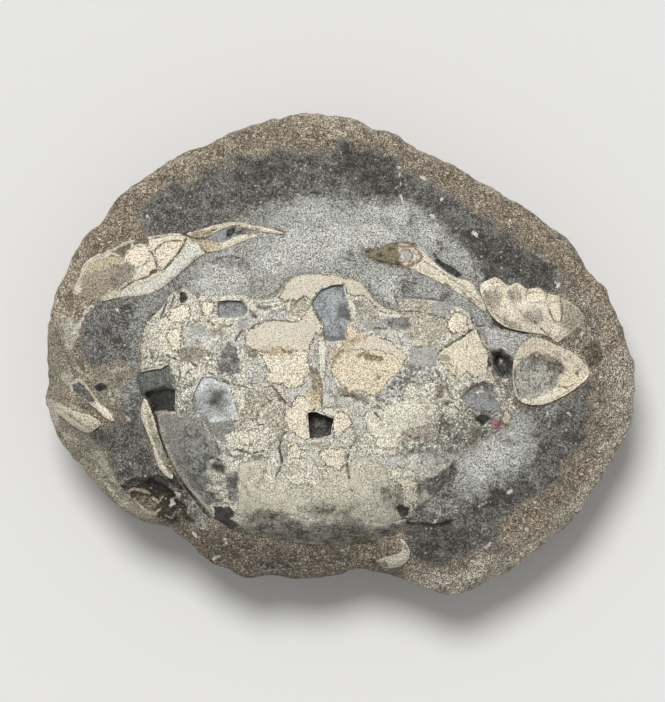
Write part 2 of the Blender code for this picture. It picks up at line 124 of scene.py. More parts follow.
# where the back shell is broken away, and how far down the stone lies there
windows = {
    "front": {"outline": [
        (312, 302), (320, 291), (331, 286), (343, 285), (346, 298), (349, 312), (352, 322),
        (346, 325), (345, 340), (330, 342), (324, 339), (323, 325), (316, 313)], "depth": 1.1},
    "heart": {"outline": [
        (308, 412), (315, 411), (334, 418), (332, 425), (331, 434), (320, 437), (310, 437)],
        "depth": 5.0},
    "sixSided": {"outline": [
        (203, 377), (212, 376), (221, 380), (231, 383), (233, 395), (239, 411), (230, 420),
        (212, 422), (198, 412), (193, 400), (197, 388)], "depth": 0.6},
    "eye": {"outline": [
        (218, 301.5), (230, 300.5), (241, 301), (249, 310), (245, 316), (235, 318), (219, 318)],
        "depth": 0.8},
    "notch": {"outline": [
        (141, 378), (143, 372), (152, 369.5), (162, 368.5), (170, 364), (174, 370), (177, 380),
        (176.5, 396), (176, 411), (158, 411.5), (152, 402.5), (146, 394)],
        "depth": 1.2},
    "notchHole": {"outline": [
        (147.5, 394.5), (152.5, 392), (165, 389.5), (175, 391), (174.5, 409.5), (158.5, 410), (153, 403)],
        "depth": 4.6},
}
wristPit = [(491, 353), (500, 351), (508, 358), (511, 366), (508, 374), (498, 372), (493, 364)]

stone = {
    "rimHeight": 25.0, "rimWave": 1.6, "crown": 41.0, "vaultRise": 9.5, "ledgeDrop": 3.2,
    "flatShare": 0.56,  # it rests on this share of its reach
    "fadeHeight": 21.0, "fadeWave": 2.5, "fadeRate": 1.2,  # the colours of the upper side end here
    "cells": 36, "finer": 4, "underFiner": 1,
    "hiddenMargin": 2.6,  # its mesh stays coarse this far inside the pieces that cover it
    "shellBed": 2.5,  # the mould lies this far below the worn surface under the back shell
    "inlayBed": 1.6,  # and the pockets of the other pieces
    "wristPitDepth": 4.5,
    # sizes and heights of its waves, flakes and grit: everywhere, then how much more on the rind
    "waveSize": 19, "waveHeight": (0.6, 1.1), "lumpSize": 9, "lumpHeight": 0.9,
    "flakeSize": 7.0, "flakeLayers": 2.5, "flakeHeight": (0.05, 0.52),
    "gritSize": 2.2, "gritHeight": (0.05, 0.40), "rimRoughSize": 2.4, "rimWear": 0.009,
    "underWaveSize": 17, "underWaveHeight": 1.9, "underGritSize": 5, "underGritHeight": 0.5,
}
shellCentre = (-6.3, -19.5)
# how far in from its edge the back shell reaches full height, by direction in degrees
vaultReach = (
    (-180, 17), (-135, 15), (-90, 11), (-45, 16), (0, 22), (45, 27), (90, 32), (135, 26), (180, 17),
)
# centre x, centre y, radius, height
swellings = (
    (-15.3, 1.3, 8, 1.1), (8.1, -2.2, 9, 1.1), (-6.3, -21.1, 7, 1.0), (-42.3, -13.7, 13, 1.4),
    (29.7, -13.7, 13, 1.4), (-6.3, 17.0, 10, 0.9), (-6.3, -12.0, 4, -0.8), (-20.0, -31.0, 4, -0.9),
    (3.0, -32.0, 4, -0.9),
)
# centre x, centre y, radius, depth
shellPits = (
    (-47.1, 17.1, 1.7, 1.4), (-36.6, -33.8, 2.2, 1.0), (41.6, -19.0, 2.5, 1.4), (17.4, -45.9, 2.0, 1.4),
)
hollow = {"centre": (-56.4, -42.6), "halfAxes": (9.5, 5.0), "turn": -24, "depth": 4.6}


# heights, the same as the solid pieces have
def smoothstep(low, high, value):
    t = np.clip((value - low) / (high - low), 0.0, 1.0)
    return t * t * (3.0 - 2.0 * t)


def roundedCurve(points, step):
    # a closed curve through the points, with its own points a step apart
    p = onStone(points)
    before, after, beyond = np.roll(p, 1, 0), np.roll(p, -1, 0), np.roll(p, -2, 0)
    curve = []
    for a, b, c, d in zip(before, p, after, beyond):
        for t in np.linspace(0, 1, 12, endpoint=False):
            curve.append(0.5 * (2 * b + (c - a) * t + (2 * a - 5 * b + 4 * c - d) * t**2
                                + (3 * b - a - 3 * c + d) * t**3))
    closed = np.vstack([curve, curve[:1]])
    along = np.concatenate([[0], np.cumsum(np.linalg.norm(np.diff(closed, axis=0), axis=1))])
    wanted = np.linspace(0, along[-1], max(8, round(along[-1] / step)), endpoint=False)
    return np.column_stack([np.interp(wanted, along, closed[:, i]) for i in (0, 1)])


def distanceTo(x, y, starts, ends):
    nearest = np.full(np.shape(x), 1e9)
    for (x0, y0), (x1, y1) in zip(starts, ends):
        dx, dy = x1 - x0, y1 - y0
        t = np.clip(((x - x0) * dx + (y - y0) * dy) / (dx * dx + dy * dy + 1e-12), 0, 1)
        nearest = np.minimum(nearest, (x - x0 - t * dx) ** 2 + (y - y0 - t * dy) ** 2)
    return np.sqrt(nearest)


def distanceInside(x, y, outline):
    ends = np.roll(outline, -1, 0)
    inside = np.zeros(np.shape(x), bool)
    for (x0, y0), (x1, y1) in zip(outline, ends):
        if y1 != y0:
            inside ^= ((y0 > y) != (y1 > y)) & (x < x0 + (y - y0) / (y1 - y0) * (x1 - x0))
    nearest = distanceTo(x, y, outline, ends)
    return np.where(inside, nearest, -nearest)


def nearBox(x, y, points, reach):
    low, high = points.min(0) - reach, points.max(0) + reach
    return (x > low[0]) & (x < high[0]) & (y > low[1]) & (y < high[1])


def nearField(x, y, outline, reach):
    # distance inside the outline, worked out only near it and held at -reach elsewhere
    near = nearBox(x, y, outline, reach)
    field = np.full(x.shape, -float(reach))
    field[near] = np.clip(distanceInside(x[near], y[near], outline), -reach, reach)
    return field


def nearLine(x, y, line, width, reach):
    near = nearBox(x, y, line, reach)
    field = np.full(x.shape, -float(reach))
    field[near] = np.maximum(width / 2 - distanceTo(x[near], y[near], line[:-1], line[1:]), -reach)
    return field


waveCells = 64  # the waves repeat after this many of their sizes


def waviness(x, y, size, seed):
    table = np.random.default_rng(seed).uniform(-1, 1, (waveCells, waveCells))
    u, v = x / size + waveCells / 2, y / size + waveCells / 2
    i, j = np.floor(u).astype(int), np.floor(v).astype(int)
    s, t = smoothstep(0, 1, u - i), smoothstep(0, 1, v - j)
    i, j, nextI, nextJ = i % waveCells, j % waveCells, (i + 1) % waveCells, (j + 1) % waveCells
    low = table[i, j] * (1 - s) + table[nextI, j] * s
    high = table[i, nextJ] * (1 - s) + table[nextI, nextJ] * s
    return low * (1 - t) + high * t


def roughness(x, y, size, seed, steps=3, gain=0.55):
    # several sizes of waviness laid over each other, turned so that their grids don't line up
    total, weight, height = 0.0, 1.0, 0.0
    for k in range(steps):
        turn = 0.9 + 1.7 * k
        u, v = x * math.cos(turn) - y * math.sin(turn), x * math.sin(turn) + y * math.cos(turn)
        height = height + weight * waviness(u, v, size / 1.9**k, seed + 10 * k)
        total += weight
        weight *= gain
    return height / total * 1.4


rimCurve = roundedCurve(noduleRim, 1.0)
shellCurve = roundedCurve(backShell, 3.0)
ledgeCurve = roundedCurve(ledge, 3.0)
rimAngles = np.arctan2(rimCurve[:, 1], rimCurve[:, 0])
rimOrder = np.argsort(rimAngles)


def rimRadius(angle):
    radii = np.hypot(rimCurve[:, 0], rimCurve[:, 1])[rimOrder]
    return np.interp(angle, rimAngles[rimOrder], radii, period=2 * math.pi)


def rimHeight(angle):
    return stone["rimHeight"] + stone["rimWave"] * (0.7 * np.sin(2 * angle + 0.6) + 0.3 * np.sin(5 * angle))


def shareOut(x, y):
    return np.clip(np.hypot(x, y) / rimRadius(np.arctan2(y, x)), 0, 1)


def stoneHeight(x, y):
    share = shareOut(x, y)
    foot = rimHeight(np.arctan2(y, x))
    height = foot + (stone["crown"] - foot) * (1 - share**2.6) ** 0.55
    rind = smoothstep(0.6, 0.9, share) * (1 - smoothstep(0.93, 1.0, share))
    inner = 1 - smoothstep(0.9, 1.0, share)
    anywhere, onRind = stone["waveHeight"]
    height += (anywhere + onRind * rind) * waviness(x, y, stone["waveSize"], 1) * inner
    height += rind * stone["lumpHeight"] * waviness(x, y, stone["lumpSize"], 2)
    return height - stone["ledgeDrop"] * smoothstep(-1.0, 3.0, nearField(x, y, ledgeCurve, 4.0)) * inner


def vault(x, y):
    inside = np.maximum(nearField(x, y, shellCurve, 40.0), 0)
    turn = np.degrees(np.arctan2(y - shellCentre[1], x - shellCentre[0]))
    reach = np.interp(turn, *zip(*vaultReach))
    full = 1 - (1 - np.clip(inside / reach, 0, 1)) ** 2
    rise = stone["vaultRise"] * full**0.9
    for cx, cy, radius, height in swellings:
        rise += full * height * np.exp(-((x - cx) ** 2 + (y - cy) ** 2) / radius**2)
    return rise


def land(x, y):
    return stoneHeight(x, y) + vault(x, y)


# The paints are the colours of stone and shell, with some painted light and shade among them, laid over each
# other in this order. A paint has a colour and its variation, the outlines of its areas, and its lines by
# their width in mm. soft and ragged are the width and unevenness of its edge in mm, and size is how long the
# unevenness is; lift raises or sinks it; specks, pores, grain and crackle are shares of those textures; edge
# is how dark its broken outline is.
paints = []
stoneOnly = ("nodule",)
shellOnly = ("carapace",)
shellAndStone = shellOnly + stoneOnly
leftClaw = ("left_claw_palm", "left_claw_finger")
rightFingerOnly, rightPalmOnly = ("right_claw_finger",), ("right_claw_palm",)
wristOnly, bladeOnly = ("right_claw_wrist",), ("side_plate",)
legsOnly = ("leg_fragment_front", "leg_fragment_rear", "rear_hook")


def paint(name, colour, other, areas, lines={}, soft=0.4, ragged=0.5, size=1.6, lift=0,
          specks=0.1, pores=0.3, grain=0.6, crackle=0, edge=0):
    paints.append({
        "name": name, "colour": colour, "other": other, "soft": soft, "ragged": ragged,
        "size": size, "lift": lift, "specks": specks, "pores": pores, "grain": grain,
        "crackle": crackle, "edge": edge, "carriers": carriers,
        "areas": [onStone(area) for area in areas],
        "lines": [(onStone(run), width) for width, runs in lines.items() for run in runs],
    })


# the stone, from the rind inwards; carriers are the pieces that the paints after it lie on
carriers = stoneOnly
# paler rind stone with painted light on it, brightening rim faces that the sun leaves darker
paint("rindPaleAndLit", (0.88, 0.755, 0.575), (0.5, 0.427, 0.322), [
    [(272, 118), (290, 108), (350, 108), (378, 124), (366, 138), (340, 142), (318, 132), (300, 124),
     (286, 122)], [(40, 400), (40, 330), (56, 286), (74, 250), (84, 262), (70, 296), (62, 330), (56, 360)],
    [(580, 262), (600, 280), (616, 310), (606, 316), (590, 290)],
], soft=3, ragged=3, size=6, specks=0.7, pores=0.8, grain=1.5, crackle=0.9)
# the lower right rim: paler stone, with painted light where the rim turns away from the sun
paint("rindRightPaleAndLit", (0.9, 0.82, 0.67), (0.66, 0.59, 0.475), [
    [(604, 352), (628, 350), (650, 380), (644, 440), (622, 474), (600, 504), (574, 526), (545, 548),
     (508, 574), (480, 592), (440, 600), (410, 592), (412, 572), (440, 570), (470, 566), (500, 552),
     (530, 530), (560, 504), (588, 470), (602, 440), (608, 400)],
], soft=3, ragged=3, size=5, specks=0.7, pores=0.9, grain=1.4, crackle=0.9)
paint("rindShade", (0.29, 0.239, 0.174), (0.698, 0.598, 0.447), [
    [(240, 132), (290, 126), (296, 136), (270, 142), (240, 142)],
    [(440, 176), (470, 182), (500, 205), (530, 232), (560, 262), (590, 290), (600, 330), (588, 336),
     (576, 300), (550, 272), (520, 240), (490, 214), (455, 192)],
    [(92, 236), (112, 222), (136, 214), (134, 232), (150, 238), (110, 250), (88, 262), (78, 276)],
    [(566, 476), (590, 450), (596, 462), (580, 490), (556, 506), (540, 500)],
    [(508, 510), (540, 500), (530, 520), (505, 530)],
], soft=2.6, ragged=2.6, size=5, specks=0.8, pores=0.9, grain=1.6, crackle=0.9)
paint("rindBrown", (0.169, 0.137, 0.106), (0.401, 0.345, 0.256), [
    [(172, 476), (186, 486), (202, 504), (218, 516), (244, 528), (250, 538), (205, 524), (180, 516),
     (164, 500)],
    [(160, 520), (180, 514), (205, 520), (250, 536), (330, 548), (384, 540), (410, 566), (404, 590),
     (340, 590), (240, 590), (190, 560)],
], soft=4, ragged=3, size=5, specks=0.9, pores=1, grain=1.6, crackle=0.9)
# painted light along the outer edge of the rim's foot, over the stone's own tone
paint("footPaleAndLit", (0.399, 0.339, 0.255), (0.163, 0.135, 0.099), [
    [(190, 548), (210, 545), (225, 556), (250, 572), (290, 566), (330, 564), (360, 562), (384, 570),
     (384, 580), (330, 590), (290, 590), (240, 590), (200, 566)],
    [(205, 528), (245, 530), (262, 540), (240, 546), (210, 542)],
], soft=1.4, ragged=2.2, size=3.2, lift=0.2, specks=0.8, pores=1, grain=1.6, crackle=0.9)
paint("charcoal", (0.103, 0.1, 0.089), (0.193, 0.188, 0.172), [
    [(138, 215), (142, 200), (160, 190), (185, 182), (205, 176), (230, 162), (255, 155), (290, 151),
     (325, 148), (345, 143), (372, 147), (394, 157), (402, 168), (420, 177), (440, 186), (458, 198),
     (480, 210), (500, 224), (520, 240), (535, 252), (548, 266), (566, 276), (573, 286), (566, 298),
     (540, 296), (500, 290), (478, 294), (474, 270), (468, 255), (455, 242), (440, 228), (430, 224),
     (415, 216), (400, 211), (380, 209), (360, 204), (340, 201), (310, 205), (285, 206), (262, 213),
     (240, 222), (226, 230), (205, 240), (180, 243), (150, 240), (138, 230)],
    [(526, 404), (560, 398), (578, 388), (588, 386), (592, 400), (592, 412), (590, 426), (586, 438),
     (580, 450), (572, 462), (566, 476), (552, 486), (532, 494), (516, 506), (500, 522), (492, 540),
     (474, 554), (455, 562), (440, 562), (425, 566), (412, 560), (404, 540), (400, 504), (412, 480),
     (440, 468), (452, 474), (464, 488), (484, 486), (505, 466), (520, 450), (528, 430), (520, 412)],
    [(85, 425), (108, 424), (120, 418), (122, 400), (130, 386), (142, 376), (146, 400), (146, 420),
     (152, 440), (160, 462), (176, 474), (160, 480), (140, 486), (128, 488), (112, 478), (112, 460),
     (104, 448), (92, 440)],
], soft=2.2, ragged=2.2, size=4.5, specks=0.7, pores=0.5, grain=1.2, crackle=0.4)
paint("charcoalSoft", (0.125, 0.123, 0.112), (0.235, 0.23, 0.217), [
    [(76, 348), (84, 320), (95, 303), (110, 299), (140, 297), (160, 290), (174, 283), (174, 300), (160, 318),
     (143, 330), (140, 350), (140, 368), (120, 374), (105, 368), (85, 364)],
], soft=2.2, ragged=2.2, size=4, specks=0.8, pores=0.5, grain=1.3, crackle=0.4)
paint("charcoalDeep", (0.067, 0.065, 0.055), (0.106, 0.102, 0.09), [
    [(345, 150), (368, 150), (394, 164), (398, 186), (385, 200), (370, 196), (352, 176)],
    [(234, 166), (262, 160), (296, 160), (296, 172), (262, 180), (236, 182)],
    [(400, 200), (440, 205), (460, 226), (480, 236), (520, 246), (545, 268), (555, 284), (530, 286),
     (500, 276), (480, 280), (472, 256), (452, 238), (420, 216)],
    [(412, 526), (440, 528), (470, 536), (466, 552), (440, 558), (416, 552)],
    [(488, 488), (520, 480), (530, 492), (500, 508), (484, 520), (474, 508)],
    [(120, 306), (134, 304), (132, 316), (122, 318)], [(92, 430), (112, 430), (110, 440), (96, 440)],
], soft=2, ragged=2.4, size=3.6, specks=0.7, pores=0.5, grain=1.2, crackle=0.25)
paint("slate", (0.295, 0.298, 0.272), (0.416, 0.418, 0.383), [
    [(186, 240), (205, 234), (240, 218), (262, 208), (300, 199), (345, 196), (395, 204), (430, 216),
     (448, 236), (466, 252), (474, 275), (478, 292), (490, 312), (535, 330), (525, 345), (512, 410),
     (490, 350), (440, 320), (400, 300), (380, 310), (200, 305), (180, 300), (168, 288), (182, 272),
     (206, 254)],
    [(128, 300), (160, 292), (168, 300), (150, 320), (142, 345), (142, 368), (130, 366), (132, 330)],
    [(454, 484), (450, 455), (470, 436), (492, 424), (515, 408), (528, 412), (538, 430), (535, 450),
     (526, 466), (512, 480), (496, 488), (480, 496), (470, 503), (460, 498)],
    [(540, 408), (556, 404), (560, 416), (548, 424)],
    [(122, 380), (138, 374), (142, 384), (130, 410), (122, 412)],
], soft=2, ragged=2, size=3.4, specks=0.6, pores=0.6, grain=1, crackle=0.35)
paint("paleGrey", (0.626, 0.632, 0.582), (0.423, 0.427, 0.389), [
    [(226, 248), (240, 242), (255, 236), (264, 226), (275, 214), (300, 203), (330, 200), (352, 206),
     (375, 202), (395, 208), (410, 206), (428, 214), (440, 228), (444, 242), (436, 252), (420, 250),
     (400, 244), (385, 246), (370, 254), (366, 262), (385, 266), (405, 271), (430, 281), (455, 291),
     (472, 302), (482, 314), (470, 313), (445, 301), (430, 301), (400, 298), (396, 310), (385, 307),
     (372, 292), (364, 282), (340, 274), (310, 272), (290, 276), (283, 282), (270, 297), (245, 299),
     (222, 299), (205, 298), (192, 294), (188, 282), (194, 270), (206, 258)],
    [(440, 238), (455, 240), (468, 256), (474, 276), (476, 284), (462, 276), (452, 266), (440, 258)],
    [(452, 474), (454, 456), (470, 442), (490, 432), (506, 420), (520, 414), (530, 426), (532, 440),
     (525, 456), (515, 466), (504, 472), (488, 480), (480, 494), (470, 484), (466, 494), (456, 486)],
    [(480, 326), (500, 330), (532, 337), (518, 348), (514, 360), (504, 352), (494, 352), (486, 343)],
], soft=2, ragged=2.4, size=3, specks=0.45, pores=0.7, grain=0.85, crackle=0.25)
paint("palest", (0.771, 0.771, 0.707), (0.589, 0.589, 0.541), [
    [(256, 262), (268, 246), (285, 234), (310, 226), (345, 224), (385, 222), (400, 230), (396, 240),
     (375, 246), (352, 252), (330, 262), (300, 266), (275, 274), (262, 276)],
    [(370, 210), (395, 206), (408, 213), (400, 222), (380, 220)],
    [(196, 287), (206, 270), (222, 263), (240, 266), (246, 278), (238, 294), (215, 297), (200, 295)],
    [(462, 462), (480, 448), (500, 440), (514, 446), (510, 460), (492, 470), (474, 476)],
    [(420, 224), (432, 230), (436, 242), (426, 244)], [(306, 208), (330, 206), (334, 214), (310, 216)],
    [(488, 330), (514, 332), (516, 344), (500, 348), (488, 343)],
    [(384, 276), (394, 276), (394, 300), (382, 296), (376, 284)],
], soft=2, ragged=2.4, size=2.4, specks=0.35, pores=0.8, grain=0.7, crackle=0.25)
paint("stoneDapple", (0.22, 0.215, 0.185), (0.33, 0.325, 0.288), [
    [(408, 212), (414, 214), (412, 226), (407, 224)], [(344, 252), (354, 252), (354, 257), (346, 258)],
    [(360, 248), (372, 248), (372, 253), (362, 254)],
    [(216, 262), (226, 258), (240, 260), (246, 266), (232, 268), (220, 270)],
    [(436, 240), (444, 242), (444, 250), (438, 250)], [(402, 280), (414, 284), (412, 296), (402, 296)],
    [(440, 294), (450, 292), (450, 300), (440, 300)], [(330, 204), (344, 204), (342, 210), (332, 210)],
    [(266, 206), (276, 204), (278, 210), (268, 212)], [(244, 208), (254, 206), (254, 214), (246, 214)],
    [(424, 499), (438, 494), (454, 499), (456, 512), (438, 515), (424, 509)],
    [(184, 502), (194, 500), (204, 510), (214, 520), (206, 527), (192, 526), (184, 518)],
    [(500, 440), (506, 436), (512, 442), (504, 446)], [(524, 456), (534, 452), (532, 466), (524, 466)],
    [(186, 250), (200, 252), (206, 250), (196, 262), (184, 272), (178, 276)],
], soft=0.9, ragged=1.1, specks=0.4, pores=0.8, grain=1)
paint("ledgeTan", (0.335, 0.301, 0.228), (0.228, 0.204, 0.153), [
    [(44, 390), (60, 396), (72, 404), (86, 430), (95, 444), (106, 458), (114, 478), (126, 490), (142, 500),
     (152, 514), (160, 524), (178, 528), (165, 534), (110, 520), (70, 470), (44, 430)],
    [(40, 350), (52, 320), (62, 330), (70, 350), (78, 368), (92, 378), (72, 382), (64, 392), (44, 394)],
    [(96, 366), (130, 362), (138, 372), (124, 384), (120, 402), (104, 408), (96, 396), (92, 380)],
], soft=1.2, ragged=1.4, size=3.2, specks=0.25, pores=0.7, grain=0.9)
paint("ledgePale", (0.588, 0.551, 0.452), (0.441, 0.404, 0.315), [
    [(60, 320), (72, 316), (80, 330), (74, 352), (66, 348)],
    [(44, 398), (58, 400), (66, 406), (60, 416), (62, 424), (50, 428)],
    [(88, 446), (98, 450), (108, 460), (114, 474), (104, 472), (92, 460)],
    [(70, 404), (88, 412), (84, 420), (72, 418)], [(60, 368), (72, 378), (72, 386), (62, 384)],
    [(104, 366), (116, 368), (130, 364), (132, 370), (114, 376)],
], {
    1.1: [[(56, 424), (64, 434), (76, 441), (92, 448)]], 1.2: [[(112, 478), (128, 494), (148, 512)]],
    0.9: [[(96, 470), (112, 492), (130, 508)], [(70, 334), (80, 322), (88, 310), (93, 307)]],
    0.7: [[(118, 390), (112, 390), (110, 396), (114, 402), (120, 398), (118, 390)]],
    0.8: [[(75, 366), (84, 374), (93, 378)]], 0.5: [[(98, 383), (104, 381), (109, 384)]],
    0.6: [[(64, 352), (70, 364), (72, 376)]],
}, soft=0.5, ragged=0.7, size=1.8, lift=0.3, specks=0.15, pores=0.5, grain=0.8, edge=0.4)
paint("ledgeLine", (0.12, 0.105, 0.078), (0.2, 0.18, 0.135), [], {
    0.8: [[(48, 388), (56, 394), (66, 399)], [(56, 330), (60, 342), (66, 356), (74, 370)]],
    0.7: [[(60, 416), (72, 424), (86, 434), (100, 444)], [(46, 374), (58, 384), (70, 388)]],
    0.6: [[(80, 400), (94, 407), (110, 420)], [(55, 432), (70, 448), (90, 462)],
    [(72, 372), (86, 380), (94, 388)], [(64, 400), (78, 405), (92, 410)]],
    0.5: [[(72, 470), (96, 490), (120, 506)], [(104, 372), (116, 374), (128, 369)],
    [(112, 378), (122, 380), (130, 374)]],
}, soft=0.3, lift=-0.25, pores=0.4)
paint("hollowBrown", (0.038, 0.031, 0.022), (0.063, 0.05, 0.036), [
    [(124, 489), (150, 480), (170, 484), (182, 500), (196, 522), (170, 524), (150, 510), (132, 498)],
    [(579, 346), (590, 338), (602, 342), (602, 358), (594, 371), (584, 367), (578, 357)],
], soft=0.6, ragged=0.9, size=2, lift=-0.25, specks=0.6, pores=0.9, grain=1.2)
paint("crumbs", (0.695, 0.632, 0.508), (0.418, 0.366, 0.278), [
    [(556, 296), (572, 298), (586, 312), (588, 322), (574, 326), (562, 340), (556, 350), (572, 356),
     (580, 366), (592, 374), (604, 366), (606, 340), (600, 320), (600, 300), (580, 290)],
    [(560, 282), (568, 280), (566, 288), (560, 288)],
    [(486, 366), (498, 374), (512, 400), (506, 426), (498, 420), (502, 400), (492, 384)],
], soft=1.3, ragged=1.6, size=1.8, lift=0.15, specks=0.5, pores=1, grain=1.1, crackle=0.9, edge=0.2)
paint("fragmentGrey", (0.19, 0.172, 0.134), (0.3, 0.273, 0.216), [
    [(560, 343), (564, 334), (571, 329), (580, 327), (584, 333), (580, 343), (573, 350), (566, 348)],
], soft=0.3, ragged=0.4, specks=0.5, pores=0.8, grain=1, edge=0.9)
paint("darkChip", (0.102, 0.082, 0.06), (0.176, 0.142, 0.106), [
    [(580, 350), (583, 343), (595, 341), (601, 345), (602, 358), (597, 366), (589, 368), (583, 361)],
    [(130, 494), (150, 496), (158, 506), (148, 509), (136, 500)],
    [(177, 508), (183, 507), (184, 520), (178, 521)],
], ragged=0.7, size=1.3, specks=0.7, pores=0.4, grain=0.9)
paint("blackShade", (0.022, 0.021, 0.019), (0.05, 0.047, 0.042), [
    [(146, 481), (152, 476), (158, 474), (166, 477), (172, 487), (160, 486)],
    [(166, 480), (176, 474), (184, 490), (176, 488)],
    [(95, 387), (102, 383), (109, 386), (107, 390), (98, 391)],
    [(491, 316), (500, 324), (512, 329), (534, 335), (520, 333), (500, 329), (492, 325)],
    [(433, 253), (440, 261), (449, 266), (464, 276), (456, 278), (444, 270), (435, 262)],
    [(226, 230), (236, 228), (236, 232), (230, 238), (226, 237)],
], {
    1.4: [[(73, 384), (84, 392), (94, 401)]], 0.9: [[(400, 520), (410, 523), (440, 525), (452, 520)],
    [(205, 232.5), (213, 229)]], 0.6: [[(236, 234), (246, 230)]], 0.7: [[(122, 486), (134, 488), (146, 482)],
    [(184, 484), (197, 502), (210, 517)]], 1: [[(152, 404), (158, 424), (164, 444), (174, 464), (182, 480)]],
}, soft=0.25, ragged=0.35, size=1.2, lift=-0.5, pores=0, grain=0.4)
paint("lensGrey", (0.33, 0.345, 0.335), (0.27, 0.28, 0.27), [
    [(211, 237), (214, 231), (226, 229), (227, 238), (220, 242), (213, 242)],
], soft=0.3, ragged=0.2, specks=0.2, pores=0.2, grain=0.5)
paint("oliveShade", (0.125, 0.11, 0.075), (0.2, 0.18, 0.125), [
    [(360, 248), (372, 249), (384, 247), (392, 243), (402, 241), (414, 243), (421, 251), (418, 262),
     (406, 268), (392, 266), (378, 262), (366, 256)],
    [(252, 226), (268, 227), (286, 232), (284, 237), (270, 234), (256, 231)],
], soft=0.5, ragged=0.6, size=1.4, pores=0.6, grain=0.8)
paint("thinCrack", (0.1, 0.093, 0.08), (0.18, 0.17, 0.148), [], {
    0.6: [[(140, 199), (150, 200), (160, 206), (175, 209)], [(403, 280), (402, 290), (403, 296)],
    [(369, 285), (371, 295), (378, 304), (388, 309), (398, 311)],
    [(394, 297), (412, 298), (430, 300), (442, 301), (448, 293)], [(250, 558), (270, 560), (300, 562)],
    [(210, 530), (226, 528), (240, 530)], [(444, 295), (440, 299)], [(250, 574), (270, 569), (292, 568)]],
    0.55: [[(213, 263), (218, 259), (225, 257), (240, 258), (247, 262), (250, 270)]],
    0.5: [[(403, 281), (416, 284)], [(466, 240), (473, 262), (477, 283)],
    [(176, 286), (172, 298), (162, 316)], [(188, 524), (202, 532)], [(100, 217), (120, 219)],
    [(332, 126), (342, 130), (350, 122)], [(300, 566), (330, 565), (352, 560)], [(120, 314), (130, 309)],
    [(490, 480), (488, 492), (480, 500)], [(452, 455), (450, 478)]],
    0.45: [[(398, 311), (396, 300), (393, 290)]], 0.7: [[(320, 542), (334, 548), (344, 558), (350, 562)],
    [(540, 336), (552, 342), (562, 350)]], 0.4: [[(240, 142), (262, 145)],
    [(340, 258), (356, 262), (366, 262)]],
}, soft=0.2, ragged=0.35, size=1.2, lift=-0.15, specks=0, pores=0)
paint("whiteChip", (0.646, 0.62, 0.544), (0.51, 0.476, 0.399), [
    [(126, 415), (130, 415), (130, 421), (126, 421)], [(175.5, 492), (181, 492.5), (181, 500), (177, 500.5)],
    [(171, 499), (175, 500), (174, 505), (170, 506)], [(212, 558), (220, 554), (220, 557), (213, 560)],
    [(484, 547), (490, 542), (491, 545), (486, 549)], [(478, 503), (482, 504), (481, 507), (478, 506)],
    [(434, 518), (438, 519), (437, 523), (434, 522)], [(398, 168), (401, 168), (401, 186), (399, 186)],
    [(555, 282), (560, 284), (558, 290), (555, 288)], [(497, 362), (501, 359), (503, 363), (499, 365)],
    [(440, 198), (446, 199), (446, 202), (441, 201)], [(338, 549), (342, 550), (340, 553)],
    [(357, 544), (359.5, 545), (359, 549)], [(508, 430), (512, 432), (510, 436), (507, 434)],
], {
    0.6: [[(88, 310), (80, 325), (73, 333)], [(420, 177), (426, 180)], [(566, 412), (569, 415)],
    [(508, 492), (512, 489)], [(538, 258), (543, 260)], [(148, 216), (151, 219)], [(118, 309), (120, 313)]],
    0.8: [[(86, 307), (93, 307)], [(452, 455), (457, 458)]], 0.7: [[(225, 539), (227, 543)],
    [(194, 533), (196, 536)], [(575, 354), (580, 364), (586, 372)]], 0.5: [[(283, 541), (286, 539)],
    [(545, 412), (547, 414)], [(473, 232), (476, 236)], [(584, 326), (580, 338), (574, 344)],
    [(400, 196), (404, 204)], [(182, 162), (185, 165)], [(525, 528), (528, 531)], [(93, 320), (96, 323)],
    [(430, 216), (438, 218)], [(205, 146), (212, 141), (222, 137)]], 0.4: [[(253, 556), (258, 557)]],
}, soft=0.22, ragged=0.8, size=1.2, lift=0.3, pores=0, grain=0.4)
paint("creamVein", (0.6, 0.55, 0.45), (0.42, 0.375, 0.29), [], {
    0.5: [[(127, 492), (133, 489), (142, 490), (149, 493)], [(150, 514), (156, 513), (161, 508)],
    [(169, 508), (172, 500), (178, 496)]], 0.35: [[(152, 497), (158, 502), (162, 498)],
    [(160, 498), (166, 494)], [(190, 530), (198, 527), (206, 529), (220, 524)]],
    0.4: [[(166, 516), (172, 518), (176, 512)]], 0.3: [[(188, 512), (190, 504), (196, 501)]],
}, soft=0.3, ragged=0.35, size=1.2, lift=0.2, specks=0.2, grain=0.8)

# seen through the windows in the back shell, with painted shade in the deep holes and along window edges
paint("windowFront", (0.278, 0.289, 0.295), (0.374, 0.385, 0.392), [
    [(306, 300), (318, 284), (345, 280), (358, 322), (352, 345), (325, 346), (312, 320)],
], ragged=0.2, size=2.5, grain=0.55)
# painted shade along the front window's upper edge, and darker patches on its floor
paint("windowFrontDarkAndShade", (0.13, 0.135, 0.135), (0.18, 0.19, 0.19), [
    [(335, 307), (346, 303), (350, 320), (340, 318)], [(324, 336), (346, 337), (345, 341), (328, 343)],
], {
    0.9: [[(312, 302), (320, 291), (331, 286), (343, 285)]],
}, soft=0.9, size=2.5, specks=0.05, grain=0.12)
